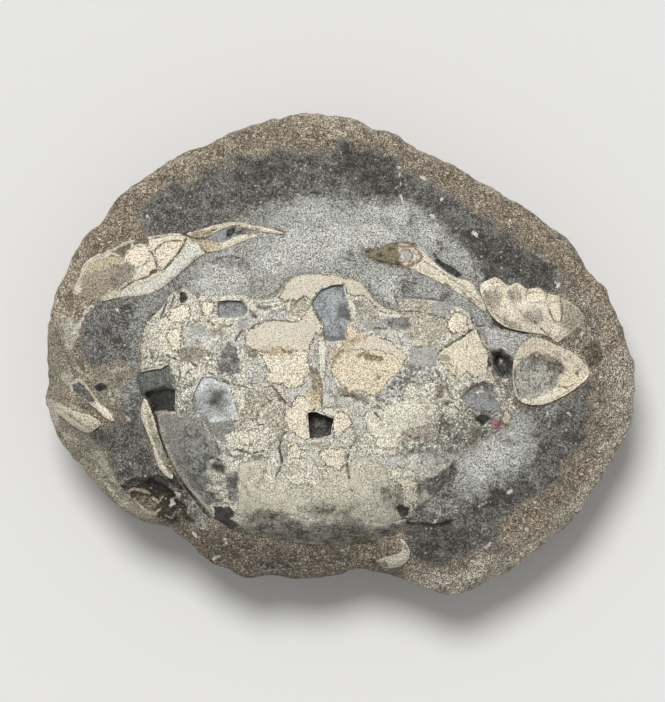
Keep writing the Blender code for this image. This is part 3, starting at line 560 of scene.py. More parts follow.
# painted shade: black inside the deep heart window and the wrist pit
paint("deepHoleShade", (0.055, 0.053, 0.05), (0.1, 0.096, 0.088), [
    [(302, 406), (318, 404), (340, 414), (338, 442), (304, 444)],
    [(488, 352), (500, 348), (512, 358), (513, 376), (498, 376), (492, 366)],
], ragged=0.4, size=2.5, specks=0.3, grain=0.9)
paint("windowWall", (0.135, 0.138, 0.125), (0.172, 0.174, 0.16), [
    [(136, 380), (140, 368), (152, 364), (172, 360), (180, 376), (178, 389), (165, 388), (158, 390),
     (150, 392), (144, 393)],
], soft=0.3, ragged=0.4, size=2.5, specks=0.25, grain=0.7)
paint("windowBlue", (0.649, 0.675, 0.668), (0.805, 0.824, 0.798), [
    [(198, 372), (215, 370), (236, 378), (244, 412), (230, 426), (208, 426), (188, 404), (192, 384)],
], ragged=0.2, size=2.5, specks=0.2, grain=0.3)
paint("windowBlueShade", (0.324, 0.33, 0.324), (0.432, 0.444, 0.432), [
    [(190, 392), (202, 392), (210, 386), (226, 386), (232, 398), (228, 412), (214, 414), (206, 426),
     (188, 420)],
], soft=2, ragged=1.6, size=2.2, specks=0.2)
paint("windowBlueHeart", (0.045, 0.045, 0.041), (0.096, 0.096, 0.089), [
    [(212, 394), (217, 390), (224, 392), (226, 400), (221, 405), (213, 405), (210, 400)],
], soft=1.9, ragged=1.1, specks=0.2, grain=0.3)
paint("windowEye", (0.204, 0.214, 0.214), (0.275, 0.286, 0.28), [
    [(212, 300), (250, 300), (250, 320), (212, 322)],
], ragged=0.2, size=2.5, specks=0.2, grain=0.45)
# painted shade: the dark lower part of the notch hole, and shadow lines along the upper edges of the eye and
# six-sided windows
paint("windowEdgeShadow", (0.037, 0.037, 0.036), (0.075, 0.075, 0.07), [
    [(146, 393.5), (152, 391.5), (158, 390), (165, 388), (178, 390), (178, 414), (156, 414), (150, 402)],
], {
    0.7: [[(218, 316), (218.5, 304), (228, 302), (242, 302.5)]], 0.5: [[(203, 377), (197, 388), (194, 400)]],
}, ragged=0.2, size=2.5, specks=0, grain=0.1)

# the back shell
carriers = shellOnly
paint("shellSlate", (0.772, 0.759, 0.675), (0.507, 0.497, 0.436), [
    [(182, 330), (186, 326), (196, 322), (206, 325), (214, 332), (225, 337), (233, 334), (244, 322),
     (250, 312), (258, 308), (285, 309), (290, 318), (280, 322), (262, 322), (250, 330), (243, 336),
     (243, 345), (232, 346), (220, 352), (205, 350), (190, 348), (182, 342)],
    [(246, 360), (262, 357), (269, 366), (265, 382), (250, 384)],
    [(308, 340), (317, 338), (317, 374), (309, 370)],
    [(329, 345), (334, 350), (331, 370), (338, 384), (350, 394), (352, 410), (340, 408), (324, 408),
     (321, 392), (327, 372)], [(283, 436), (290, 440), (289, 468), (280, 474), (282, 456)],
    [(307, 458), (318, 457), (322, 470), (318, 484), (309, 480)],
    [(352, 398), (364, 400), (366, 414), (366, 432), (356, 440), (352, 424)],
    [(352, 322), (378, 318), (396, 330), (411, 336), (406, 346), (392, 340), (372, 332), (358, 332)],
    [(386, 484), (400, 480), (404, 492), (400, 502), (388, 502)],
    [(370, 450), (384, 446), (404, 450), (410, 462), (398, 466), (384, 470), (370, 464)],
    [(280, 384), (292, 386), (300, 396), (298, 404), (286, 400)],
    [(410, 338), (424, 336), (436, 340), (434, 350), (412, 352)],
    [(418, 450), (436, 446), (450, 448), (446, 462), (430, 470), (420, 464)],
    [(152, 338), (160, 338), (166, 343), (158, 346), (152, 343)],
    [(155, 351), (164, 347), (171, 353), (170, 360), (160, 362), (154, 358)],
], soft=0.5, ragged=0.8, size=2, specks=0.25, pores=0.6, crackle=0.8, edge=0.5)
paint("flank", (0.143, 0.146, 0.131), (0.26, 0.26, 0.233), [
    [(170, 434), (184, 424), (200, 424), (210, 436), (216, 452), (228, 458), (210, 460), (208, 472),
     (212, 482), (206, 492), (210, 504), (204, 506), (192, 490), (180, 470), (172, 452)],
    [(402, 442), (420, 436), (440, 438), (462, 440), (456, 452), (430, 452), (404, 456)],
    [(420, 502), (434, 494), (446, 482), (440, 494), (424, 508), (412, 512)],
    [(176, 402), (200, 398), (206, 408), (190, 414), (176, 412)],
    [(226, 472), (238, 474), (240, 500), (229, 500)],
], soft=1.2, ragged=1.2, size=2.6, specks=0.3, pores=0.4, grain=1.2, crackle=0.2)
paint("flankPale", (0.373, 0.367, 0.321), (0.27, 0.265, 0.233), [
    [(160, 414), (176, 413), (190, 418), (186, 430), (178, 446), (182, 460), (174, 454), (165, 440)],
    [(198, 414), (214, 412), (230, 417), (238, 428), (236, 444), (222, 442), (206, 430)],
    [(164, 414), (180, 414), (198, 414), (208, 424), (216, 438), (224, 452), (216, 454), (208, 440),
     (200, 426), (186, 424), (172, 430), (166, 426)], [(186, 436), (198, 440), (200, 450), (190, 448)],
    [(214, 484), (224, 480), (232, 492), (220, 500)],
], soft=0.7, ragged=1, size=1.8, lift=0.1, specks=0.3, pores=0.5, grain=0.8, crackle=0.6)
carriers = shellAndStone
paint("rearMottle", (0.28, 0.268, 0.223), (0.9, 0.9, 0.771), [
    [(436, 402), (448, 398), (458, 388), (466, 382), (480, 379), (492, 384), (500, 398), (508, 412),
     (500, 426), (484, 436), (466, 446), (450, 452), (432, 446), (414, 448), (402, 448), (404, 438),
     (420, 430), (434, 424), (438, 414)],
    [(404, 366), (412, 356), (424, 356), (436, 368), (444, 380), (442, 396), (430, 396), (430, 386),
     (416, 380)], [(176, 382), (196, 380), (194, 390), (190, 400), (195, 414), (182, 413), (176, 411)],
    [(204, 352), (220, 352), (224, 372), (238, 378), (232, 384), (216, 376), (206, 366)],
    [(232, 452), (262, 452), (276, 456), (262, 460), (236, 462)],
], soft=0.6, ragged=1.1, size=1.4, specks=0.9, pores=1, grain=1, crackle=0.95, edge=0.4)
carriers = shellOnly
paint("beigeMottle", (0.496, 0.459, 0.365), (0.664, 0.616, 0.496), [
    [(398, 312), (402, 301), (420, 300), (432, 306), (436, 318), (446, 320), (452, 330), (440, 336),
     (434, 346), (420, 350), (410, 340), (404, 328), (408, 318)],
    [(352, 300), (364, 299), (376, 310), (378, 318), (358, 322)],
    [(290, 302), (304, 298), (308, 306), (300, 318), (290, 312)],
    [(236, 388), (250, 390), (272, 390), (276, 400), (262, 404), (254, 418), (242, 422), (240, 410)],
    [(268, 408), (284, 406), (288, 428), (280, 440), (270, 434), (262, 420)],
    [(402, 424), (430, 422), (440, 430), (428, 440), (404, 440)],
    [(184, 318), (196, 316), (202, 322), (190, 326)],
], soft=0.6, ragged=0.9, size=1.5, specks=0.15, pores=0.9, grain=0.8, crackle=0.8, edge=0.4)
paint("paleBlue", (0.44, 0.44, 0.4), (0.36, 0.36, 0.325), [
    [(430, 303), (440, 302), (450, 303), (452, 312), (446, 318), (434, 315)],
    [(408, 350), (434, 346), (440, 356), (434, 366), (410, 366)],
    [(360, 320), (380, 322), (390, 330), (372, 332)], [(236, 322), (246, 318), (250, 326), (240, 334)],
    [(190, 324), (204, 324), (208, 334), (194, 336)],
], soft=0.5, ragged=0.6, specks=0.3, pores=0.25, crackle=0.3, edge=0.2)
paint("shellBrown", (0.27, 0.235, 0.17), (0.4, 0.36, 0.275), [
    [(178, 353), (184, 347), (194, 346), (206, 350), (207, 360), (196, 362), (184, 360)],
    [(246, 347), (257, 347), (258, 358), (248, 358)], [(310, 366), (320, 368), (322, 390), (312, 392)],
    [(432, 386), (441, 386), (442, 398), (434, 400)],
    [(336, 386), (350, 390), (366, 394), (372, 402), (352, 398), (338, 396)],
    [(214, 330), (222, 328), (227, 332), (224, 337), (216, 335)],
], soft=0.5, ragged=0.8, size=1.3, specks=0.15, pores=0.9, grain=1, crackle=0.4)
carriers = shellAndStone
paint("rearBrown", (0.165, 0.143, 0.105), (0.341, 0.308, 0.231), [
    [(474, 424), (478, 428), (484, 428), (482, 434), (476, 440), (471, 444), (465, 443), (470, 436),
     (467, 431)], [(430, 384), (440, 386), (441, 396), (432, 394)],
    [(440, 420), (452, 421), (456, 427), (442, 428)],
], ragged=0.9, size=1.1, specks=0.5, pores=0.8, grain=1.2, crackle=0.5)
paint("shellCharcoal", (0.127, 0.124, 0.114), (0.253, 0.247, 0.225), [
    [(224, 349), (230, 344), (238, 347), (240, 362), (242, 371), (232, 376), (222, 370), (219, 360)],
    [(228, 472), (239, 470), (239, 490), (236, 500), (229, 500), (226, 488)],
    [(418, 480), (430, 476), (442, 470), (453, 461), (456, 470), (450, 488), (440, 496), (424, 490),
     (416, 498), (412, 490)], [(384, 320), (394, 317), (408, 319), (411, 327), (400, 331), (390, 326)],
    [(458, 393), (464, 386), (472, 383), (480, 381), (489, 383), (494, 388), (489, 392), (478, 389),
     (468, 393), (462, 399)], [(483, 393), (488, 392.5), (489.5, 398), (487, 400), (483.5, 399)],
    [(489, 399), (496, 398.5), (497, 401.5), (490, 402)],
    [(206, 492), (212, 489), (222, 494), (222, 502), (208, 503)],
    [(226, 446), (234, 448), (234, 455), (227, 455)], [(174, 290), (182, 287), (184, 292), (178, 296)],
    [(456, 317), (461, 313), (467, 321), (465, 325), (460, 322)], [(433, 317), (438, 317), (437, 321)],
    [(440, 318), (445, 316), (444, 321)],
], ragged=0.8, size=1.3, specks=0.9, grain=1, crackle=0.3)
paint("slateLump", (0.36, 0.365, 0.354), (0.239, 0.246, 0.239), [
    [(462, 396), (470, 390), (478, 397), (482, 392), (489, 392), (491, 400), (498, 400), (500, 408),
     (496, 412), (488, 412), (480, 411), (474, 409), (468, 407), (464, 402)],
], soft=0.3, size=1.2, lift=0.2, specks=0.35, pores=0.2, grain=1, edge=0.5)
carriers = shellOnly
paint("shellSparkle", (0.231, 0.225, 0.205), (0.672, 0.651, 0.584), [
    [(374, 400), (380, 392), (390, 380), (398, 372), (412, 366), (424, 370), (434, 376), (428, 384),
     (416, 388), (404, 386), (398, 398), (388, 405), (380, 405)],
], soft=0.5, ragged=0.9, size=1.2, specks=1, pores=1, grain=1.2, crackle=0.4)
carriers = shellAndStone
paint("shellCrust", (0.9, 0.843, 0.705), (0.74, 0.695, 0.58), [
    [(143, 330), (150, 322), (164, 316), (172, 324), (168, 334), (170, 346), (176, 356), (168, 364),
     (156, 368), (143, 369), (142, 350)],
    [(162, 320), (168, 306), (176, 298), (190, 304), (200, 300), (216, 300), (216, 316), (208, 324),
     (200, 318), (192, 322), (180, 328), (166, 326)],
    [(176, 362), (190, 359), (202, 364), (212, 366), (218, 372), (206, 374), (198, 380), (188, 384),
     (178, 380), (172, 372)],
    [(226, 436), (236, 428), (240, 420), (250, 420), (262, 418), (274, 424), (276, 436), (270, 452),
     (256, 452), (244, 450), (232, 454)],
    [(398, 388), (404, 384), (412, 383), (418, 390), (426, 380), (433, 384), (434, 398), (412, 399)],
    [(352, 438), (368, 436), (380, 446), (398, 446), (400, 452), (384, 454), (356, 450)],
    [(286, 442), (304, 443), (306, 449), (345, 446), (349, 470), (330, 480), (320, 486), (290, 486),
     (288, 470)], [(436, 348), (446, 334), (462, 332), (474, 328), (466, 336), (452, 342), (444, 352)],
    [(446, 366), (456, 380), (470, 378), (482, 376), (490, 380), (480, 381), (466, 385), (458, 391),
     (446, 392), (442, 382)], [(208, 484), (226, 482), (230, 492), (224, 498), (216, 494)],
    [(496, 380), (506, 390), (512, 400), (516, 410), (506, 408), (498, 396)],
    [(386, 470), (398, 466), (416, 470), (418, 500), (408, 500), (400, 480), (390, 480)],
    [(444, 404), (456, 400), (462, 410), (452, 420), (444, 414)],
], soft=0.35, ragged=1.1, size=1.5, lift=0.12, specks=0.2, pores=0.8, crackle=0.9, edge=0.6)
carriers = shellOnly
paint("posterior", (0.716, 0.667, 0.528), (0.491, 0.461, 0.368), [
    [(238, 462), (262, 458), (280, 468), (276, 480), (300, 486), (345, 484), (352, 456), (372, 456),
     (386, 472), (390, 500), (400, 514), (385, 522), (330, 519), (280, 513), (246, 516), (236, 512),
     (240, 490)],
], soft=0.5, ragged=0.7, size=2.4, lift=0.1, grain=0.45, crackle=0.25, edge=0.5)
paint("posteriorPale", (0.737, 0.693, 0.567), (0.616, 0.578, 0.468), [
    [(262, 462), (276, 470), (282, 478), (292, 464), (304, 470), (308, 484), (320, 484), (330, 472),
     (346, 468), (350, 488), (360, 498), (330, 496), (300, 498), (276, 492), (256, 488), (250, 476)],
    [(356, 458), (372, 458), (382, 470), (380, 488), (362, 490)],
    [(354, 502), (372, 500), (388, 508), (380, 516), (358, 514)],
], soft=0.8, ragged=1.3, size=2.6, specks=0.08, pores=0.7, crackle=0.5, edge=0.3)
paint("rearShade", (0.104, 0.097, 0.079), (0.271, 0.254, 0.206), [
    [(238, 526), (262, 518), (300, 522), (340, 521), (385, 526), (402, 520), (396, 532), (372, 542),
     (335, 548), (290, 544), (250, 536), (222, 524)],
    [(246, 512), (256, 506), (280, 508), (286, 518), (270, 526), (250, 526)],
    [(330, 524), (350, 518), (372, 524), (360, 532), (336, 532)],
    [(382, 487), (396, 485), (401, 498), (394, 504), (382, 500)],
    [(300, 507), (318, 503), (340, 508), (356, 505), (344, 513), (316, 513)],
], soft=1.6, ragged=1.6, size=2.6, specks=0.4, pores=0.5, grain=1.6, crackle=0.3)
paint("posteriorLine", (0.405, 0.365, 0.277), (0.513, 0.466, 0.365), [], {
    1.2: [[(246, 486), (250, 494)]], 0.7: [[(332, 514), (342, 505), (356, 500)],
    [(350, 503), (372, 502), (388, 507)], [(392, 472), (390, 486), (394, 500)]],
    1: [[(266, 466), (262, 478)]], 0.9: [[(310, 444), (330, 444)], [(370, 470), (374, 490)]],
    0.6: [[(256, 500), (270, 503), (284, 501)], [(300, 510), (318, 505), (330, 506)]],
}, soft=0.5, specks=0.4, pores=0.4, crackle=0.2)
paint("creamSmooth", (0.692, 0.64, 0.522), (0.61, 0.553, 0.441), [
    [(245, 345), (245, 336), (250, 330), (258, 324), (266, 321), (280, 320), (292, 322), (300, 320),
     (306, 312), (311, 303), (316, 315), (321, 325), (323, 338), (316, 334), (314, 337), (309, 352),
     (296, 352), (262, 352), (254, 350)],
    [(284, 281), (290, 278), (300, 275), (312, 274), (330, 274), (345, 278), (360, 281), (368, 290),
     (375, 300), (385, 307), (397, 311), (396, 316), (380, 313), (372, 304), (364, 297), (352, 296),
     (347, 294), (343, 285), (330, 287), (320, 290), (311, 301), (306, 297), (298, 301), (284, 301),
     (278, 298), (284, 290)],
    [(333, 350), (345, 344), (352, 340), (362, 336), (372, 334), (380, 338), (388, 340), (396, 347),
     (402, 352), (407, 357), (403, 364), (380, 352), (356, 350)],
], soft=0.22, ragged=0.35, size=1.8, lift=0.14, specks=0.03, pores=0.5, grain=0.32, crackle=0.12, edge=1)
paint("creamPale", (0.9, 0.82, 0.64), (0.83, 0.752, 0.583), [
    [(437, 352), (446, 345), (455, 340), (465, 334), (471, 330), (475, 328), (478, 333), (482, 342),
     (487, 350), (488, 357), (487, 375), (480, 374), (474, 378), (466, 372), (456, 378), (447, 372),
     (444, 366), (438, 360)],
    [(258, 352), (296, 351), (309, 352), (309, 372), (304, 382), (296, 388), (290, 390), (284, 385),
     (270, 383), (264, 380), (270, 372), (266, 364), (262, 356)],
    [(176, 306), (184, 304), (192, 308), (192, 316), (184, 322), (176, 325), (168, 318), (172, 310)],
    [(170, 330), (184, 326), (182, 340), (182, 352), (174, 350), (168, 338)],
    [(201, 302), (208, 300), (216, 302), (215, 313), (209, 317), (202, 313)],
    [(446, 320), (454, 311), (460, 311), (466, 318), (468, 330), (460, 333), (450, 334), (446, 328)],
    [(292, 404), (300, 394), (306, 398), (318, 390), (323, 394), (322, 406), (308, 411), (298, 408)],
    [(284, 412), (290, 405), (300, 404), (308, 408), (308, 424), (312, 437), (306, 440), (298, 436),
     (290, 430), (286, 422)],
    [(333, 414), (340, 410), (347, 412), (351, 420), (349, 428), (342, 434), (334, 437), (333, 426)],
    [(501, 412), (506, 407), (511, 414), (510, 422), (504, 427), (500, 421)],
    [(289, 446), (296, 443), (303, 450), (301, 458), (294, 458)],
    [(318, 452), (330, 447), (345, 449), (346, 462), (340, 470), (326, 464)],
    [(389, 470), (398, 466), (413, 470), (417, 484), (414, 499), (405, 497), (400, 484), (391, 479)],
], {
    1.2: [[(404, 500), (411, 505), (411, 512), (404, 519), (396, 522)]],
}, soft=0.22, lift=0.12, specks=0.03, pores=0.7, grain=0.5, crackle=0.35, edge=1)
paint("creamYellow", (0.824, 0.726, 0.536), (0.731, 0.628, 0.453), [
    [(331, 352), (356, 350), (380, 350), (404, 361), (399, 370), (393, 376), (386, 382), (382, 388),
     (380, 393), (374, 397), (366, 392), (358, 391), (349, 391), (344, 386), (338, 380), (334, 376),
     (330, 372), (331, 366), (335, 362)],
    [(346, 326), (352, 326), (358, 332), (361, 337), (352, 342), (345, 343)],
    [(444, 362), (456, 366), (456, 376), (448, 374)],
], soft=0.22, size=1.7, lift=0.12, specks=0.03, pores=0.75, grain=0.5, crackle=0.25, edge=0.8)
paint("creamCrazed", (0.886, 0.839, 0.7), (0.793, 0.742, 0.603), [
    [(362, 414), (370, 408), (382, 406), (392, 402), (404, 399), (418, 396), (430, 398), (437, 405),
     (435, 412), (428, 422), (418, 428), (406, 430), (400, 436), (398, 444), (386, 448), (374, 446),
     (374, 438), (366, 426)], [(234, 386), (246, 388), (248, 402), (240, 412), (236, 400)],
    [(398, 470), (406, 466), (416, 472), (418, 480), (410, 478), (402, 476), (392, 478)],
    [(404, 484), (414, 484), (417, 500), (408, 500), (403, 494)],
    [(262, 470), (276, 474), (276, 482), (264, 480)], [(286, 474), (304, 470), (306, 482), (290, 486)],
    [(236, 430), (252, 428), (262, 434), (256, 444), (240, 444)],
    [(146, 348), (154, 350), (152, 362), (145, 362)], [(146, 328), (158, 324), (164, 332), (150, 338)],
], soft=0.25, ragged=0.8, size=1.4, lift=0.12, specks=0.03, pores=0.7, grain=0.5, crackle=0.6, edge=0.7)
carriers = shellAndStone
# whitish shell bits; the strip along the notch's lower wall and the one under the pit beside the flank are
# painted highlight
paint("whitishAndLitRims", (0.8, 0.765, 0.665), (0.7, 0.665, 0.56), [
    [(318, 340), (327, 340), (327, 366), (326, 372), (319, 371)],
    [(239.5, 347), (246, 346), (246, 358), (241, 357)],
    [(348, 297), (352, 300), (356, 304), (357, 312), (354, 320), (351, 320), (348, 308)],
    [(376, 310), (386, 313), (398, 313), (406, 315), (398, 318.5), (388, 318), (378, 316)],
    [(253, 303), (262, 304), (272, 302), (284, 301), (282, 305), (270, 307), (258, 307)],
    [(211, 473), (218, 474), (227, 472.5), (226, 476.5), (214, 478)],
    [(472, 410), (477, 409.5), (481, 411), (479, 415), (474, 416)],
    [(499, 359.5), (502.5, 359), (503.5, 362.5), (500.5, 364)],
    [(320, 409), (330, 407), (337, 411), (333, 417), (326, 414)],
    [(311, 437.5), (327, 438), (325, 442), (312, 443)],
    [(180, 366), (188, 362), (192, 368), (186, 378), (181, 375)],
    [(222, 376), (231, 375), (230, 380), (222, 379)], [(156, 350), (160, 352), (159, 359), (154, 357)],
    [(176, 299), (180, 300), (179, 304), (175, 303)], [(212, 484), (224, 483), (224, 489), (214, 491)],
    [(448, 311), (454, 308), (456, 311), (450, 316)], [(500, 379), (507, 377), (507, 383), (502, 383)],
    [(444, 380), (448, 384), (452, 398), (447, 396)], [(456, 412), (462, 410), (462, 415)],
], {
    0.7: [[(157, 412), (166, 411.5), (177, 412.5)]], 0.5: [[(478, 409), (484, 412), (493, 415.5)],
    [(214, 503), (226, 502), (234, 503)], [(204, 422), (212, 434), (220, 446)], [(496, 396), (500, 408)]],
    0.9: [[(409, 516), (414, 510), (416, 503)], [(172, 300), (168, 306), (163, 314)]],
    0.6: [[(390, 504), (398, 502)], [(472, 421), (476, 421.5), (479, 426.5), (484, 426), (490, 420)],
    [(452, 440), (460, 439)], [(494, 382), (502, 394), (506, 404)], [(508, 394), (516, 406)]],
    0.45: [[(217, 303), (217.5, 316)]], 0.35: [[(488, 352), (489, 364)]],
}, soft=0.2, ragged=0.3, size=1.4, lift=0.14, specks=0.03, pores=0.4, grain=0.35, crackle=0.3, edge=0.8)
carriers = shellOnly
paint("shellRimStrip", (0.617, 0.58, 0.482), (0.494, 0.457, 0.37), [
    [(188, 485), (194, 488), (201, 495), (207, 502), (212, 510), (215, 519), (209, 513), (201, 505),
     (193, 496), (188, 490)],
], {
    0.95: [[(160, 420), (162.5, 432), (167, 446), (172, 458), (178, 470), (185, 481), (190, 487)]],
}, soft=0.25, ragged=0.15, size=1.8, lift=0.3, specks=0.05, pores=0.2, edge=0.8)
paint("orangeStain", (0.55, 0.43, 0.28), (0.66, 0.56, 0.39), [
    [(264, 347), (280, 345), (294, 349), (294, 355), (280, 354), (264, 353)],
    [(360, 334), (364, 338), (352, 346), (342, 354), (334, 364), (330, 358), (332, 348), (345, 344)],
    [(308, 392), (322, 388), (323, 404), (312, 406)],
], soft=1.2, ragged=1.4, size=1.2, specks=0, pores=0.9, grain=0.7, crackle=0.3)
paint("brownSpeck", (0.2, 0.15, 0.1), (0.34, 0.27, 0.18), [
    [(354, 354), (366, 352), (382, 358), (382, 361), (366, 359), (354, 357)],
], {
    0.55: [[(272, 348), (282, 350), (292, 352)]], 0.35: [[(264, 352), (272, 354), (280, 353)]],
    0.5: [[(360, 335), (350, 343), (342, 350), (334, 360)], [(376, 380), (384, 372)],
    [(202, 312), (206, 318), (212, 323), (220, 326), (228, 326), (233, 323), (235, 320)],
    [(190, 290), (194, 295), (198, 298)]], 0.9: [[(257, 418), (259, 411), (264, 405), (270, 401)]],
    1: [[(275, 392), (281, 398), (287, 403)]], 0.6: [[(294, 300), (296, 306), (293, 310)]],
}, soft=0.35, ragged=0.8, size=0.9, specks=0, pores=0.4, grain=0.7)
paint("oliveSpot", (0.289, 0.259, 0.166), (0.357, 0.323, 0.221), [
    [(437, 357), (440, 354), (446, 354), (451, 359), (447, 362), (439, 361)],
], soft=0.25, ragged=0.2, size=2.5, specks=0.4, pores=0.1, grain=0.3)
carriers = shellAndStone
paint("oliveLine", (0.22, 0.195, 0.125), (0.33, 0.3, 0.21), [], {
    0.65: [[(252, 297), (251, 290), (253, 284), (258, 281), (264, 281.5), (264, 286), (259, 291),
     (254, 295)]], 0.5: [[(254, 299), (266, 297), (276, 293), (282, 287), (285, 281), (292, 278)]],
}, soft=0.2, ragged=0.2, size=1.3, lift=-0.12, specks=0.4, pores=0.2, grain=0.4)
paint("pinkStain", (0.37, 0.17, 0.205), (0.46, 0.27, 0.29), [
    [(490, 421), (495, 418), (502, 421), (503, 426), (498, 429), (491, 428)],
], soft=0.6, ragged=0.9, size=1, specks=0.2, pores=0.5, grain=0.8)
paint("shellCrack", (0.085, 0.072, 0.055), (0.17, 0.145, 0.11), [
    [(249, 309), (258, 318), (252, 318)], [(237, 337), (243, 328), (244, 331), (239, 338)],
    [(183, 341), (187, 343), (185, 346)], [(400, 384), (404, 386), (400, 390)],
], {
    0.5: [[(258, 307), (266, 308.5), (274, 307), (277, 305)],
    [(175, 296), (173, 304), (169, 312), (163, 319)], [(340, 395), (352, 396), (362, 400), (368, 403)],
    [(437, 353), (446, 346), (456, 340), (466, 334), (471, 330)], [(441, 414), (440, 424), (437, 437)],
    [(400, 503), (396, 508), (402, 514)], [(480, 384), (470, 388), (461, 397)],
    [(504, 384), (508, 392), (506, 398)], [(396, 300), (399, 312)], [(448, 399), (444, 404)]],
    0.65: [[(241, 300), (247, 306), (253, 313), (257, 317)],
    [(287, 431), (283, 434), (281, 440), (280, 448), (282, 456), (282, 462), (280, 469), (277, 474)],
    [(355, 440), (351, 446), (348, 454), (347, 464), (349, 476)]],
    0.4: [[(168, 302), (164, 312), (161, 318)], [(350, 488), (354, 491), (358, 492)],
    [(372, 410), (378, 416), (382, 420)], [(400, 312), (412, 311), (420, 312), (432, 315), (440, 317)],
    [(477, 331), (480, 339), (484, 346), (488, 352), (488, 376)],
    [(491, 352), (490, 364), (492, 374), (497, 382), (501, 388)], [(232, 388), (234, 396), (239, 411)],
    [(408, 346), (420, 347), (432, 341)], [(143, 358), (152, 357), (156, 361), (166, 360)],
    [(146, 369), (156, 366), (166, 364), (170, 360)], [(209, 459), (214, 456), (226, 462)],
    [(205, 418), (212, 430), (218, 444), (221, 456)], [(176, 368), (182, 372), (180, 380)],
    [(186, 368), (192, 374), (196, 380)], [(494, 376), (500, 384)], [(326, 455), (336, 456)],
    [(404, 432), (412, 438), (420, 436)], [(452, 404), (458, 410), (456, 418)],
    [(462, 428), (456, 436), (448, 442)], [(252, 418), (256, 424), (264, 424)],
    [(236, 448), (250, 452), (264, 450)]], 0.35: [[(200, 300), (201, 310), (204, 318)],
    [(168, 355), (174, 358), (182, 361), (190, 361), (198, 366)],
    [(312, 302), (316, 313), (323, 325), (324, 339)], [(304, 296), (299, 301), (294, 306)],
    [(374, 328), (386, 329)], [(376, 404), (384, 410)]],
    0.3: [[(206, 370), (218, 377), (232, 383), (250, 388), (262, 387)], [(482, 334), (486, 344), (490, 351)],
    [(285, 302), (286, 312)], [(318, 374), (322, 384), (322, 404)], [(151, 350), (154, 358)]],
    0.55: [[(262, 387), (273, 386), (279, 393), (286, 402)]], 0.45: [[(276, 422), (281, 428), (287, 431)],
    [(470, 312), (471, 320), (474, 326), (484, 326)], [(445, 379), (446, 388), (450, 397), (446, 406)],
    [(236, 342), (241, 332), (244, 326)], [(233, 420), (238, 421), (242, 424)]],
    0.22: [[(246, 345), (246, 335), (254, 326), (264, 321), (290, 321)]],
    0.6: [[(483, 410), (488, 411.5), (493, 413)], [(402, 516), (408, 519), (418, 520)]],
}, soft=0.16, ragged=0.35, size=1, lift=-0.18, specks=0, pores=0, grain=0.7)
carriers = shellOnly
# painted shade in the pit on the back shell's left flank
paint("bowlShade", (0.045, 0.041, 0.032), (0.084, 0.081, 0.067), [
    [(210, 462), (216, 461), (222, 462), (227, 464), (226, 472), (219, 472.5), (213, 469.5)],
], soft=0.9, ragged=0.3, size=1.4, specks=0, pores=0, grain=0.25)
carriers = shellAndStone
# painted shade inside the small pits and holes
paint("pitShade", (0.028, 0.028, 0.024), (0.06, 0.058, 0.048), [
    [(181, 293), (185, 292), (188, 295), (188, 300), (186, 303), (181, 303), (180, 299)],
    [(472, 418), (476, 416), (480, 413.5), (486, 414.5), (490, 416), (488, 419), (486, 421), (484, 424),
     (480, 425.5), (478, 422), (475, 420.5)],
    [(214, 505), (226, 506), (232, 506.5), (234, 510), (236, 515), (232, 518), (238, 522), (241, 525),
     (234, 529), (226, 526), (220, 522), (215, 518)],
    [(395, 506), (402, 503), (410, 507), (408, 514), (400, 516)],
], soft=0.3, ragged=0.4, size=1.1, specks=0.2, pores=0, grain=0.4)

# the claws, the blade beside the shell and the legs
carriers = leftClaw
paint("palmCore", (0.432, 0.373, 0.283), (0.313, 0.27, 0.205), [
    [(80, 292), (84, 277), (94, 270), (108, 264), (128, 262), (138, 266), (136, 276), (126, 286), (112, 292),
     (103, 300), (90, 300), (78, 298)],
], soft=0.9, ragged=1, size=2, specks=0.5, pores=0.9, grain=1.1, edge=0.3)
paint("palmCoreDark", (0.22, 0.2, 0.16), (0.3, 0.27, 0.215), [
    [(112, 270), (122, 264), (136, 266), (130, 278), (122, 288), (112, 284)],
], soft=0.9, ragged=1, specks=0.6, pores=0.9, grain=1.1)
paint("palmOlive", (0.56, 0.5, 0.35), (0.45, 0.39, 0.265), [
    [(83, 280), (86, 267), (97, 259), (112, 256), (126, 259), (120, 264), (102, 267), (92, 274)],
], soft=0.5, size=1.8, pores=0.6, grain=0.8, edge=0.4)
paint("palmStrip", (0.77, 0.743, 0.649), (0.66, 0.627, 0.533), [
    [(108, 300), (121, 292), (136, 286), (150, 281), (162, 273), (178, 258), (188, 242), (199, 245),
     (208, 254), (196, 264), (182, 276), (166, 290), (146, 299), (122, 301)],
], ragged=0.4, size=2.2, lift=-0.1, pores=0.35, edge=0.4)
paint("palmStripShade", (0.37, 0.37, 0.335), (0.47, 0.465, 0.415), [
    [(120, 299), (146, 294), (166, 284), (182, 270), (196, 258), (210, 252), (212, 258), (190, 276),
     (166, 294), (130, 303)],
], soft=0.6, ragged=0.6, size=1.8, specks=0.2, pores=0.5, grain=0.8)
paint("palmBright", (0.854, 0.764, 0.606), (0.742, 0.652, 0.5), [
    [(155, 252), (165, 243), (187, 240), (176, 257), (163, 272), (158, 264)],
    [(124, 256), (136, 246), (150, 246), (150, 262), (138, 268), (128, 262)],
], soft=0.3, ragged=0.4, size=2, lift=0.1, specks=0.05, pores=0.8, grain=0.45, edge=0.8)
paint("palmRoot", (0.42, 0.335, 0.225), (0.54, 0.465, 0.34), [
    [(188, 236), (198, 231), (213, 230), (210, 238), (222, 246), (208, 250), (200, 245), (192, 242)],
    [(236, 226), (252, 226), (262, 230), (250, 236), (240, 232)],
], soft=0.5, ragged=0.6, pores=0.7, grain=0.9)
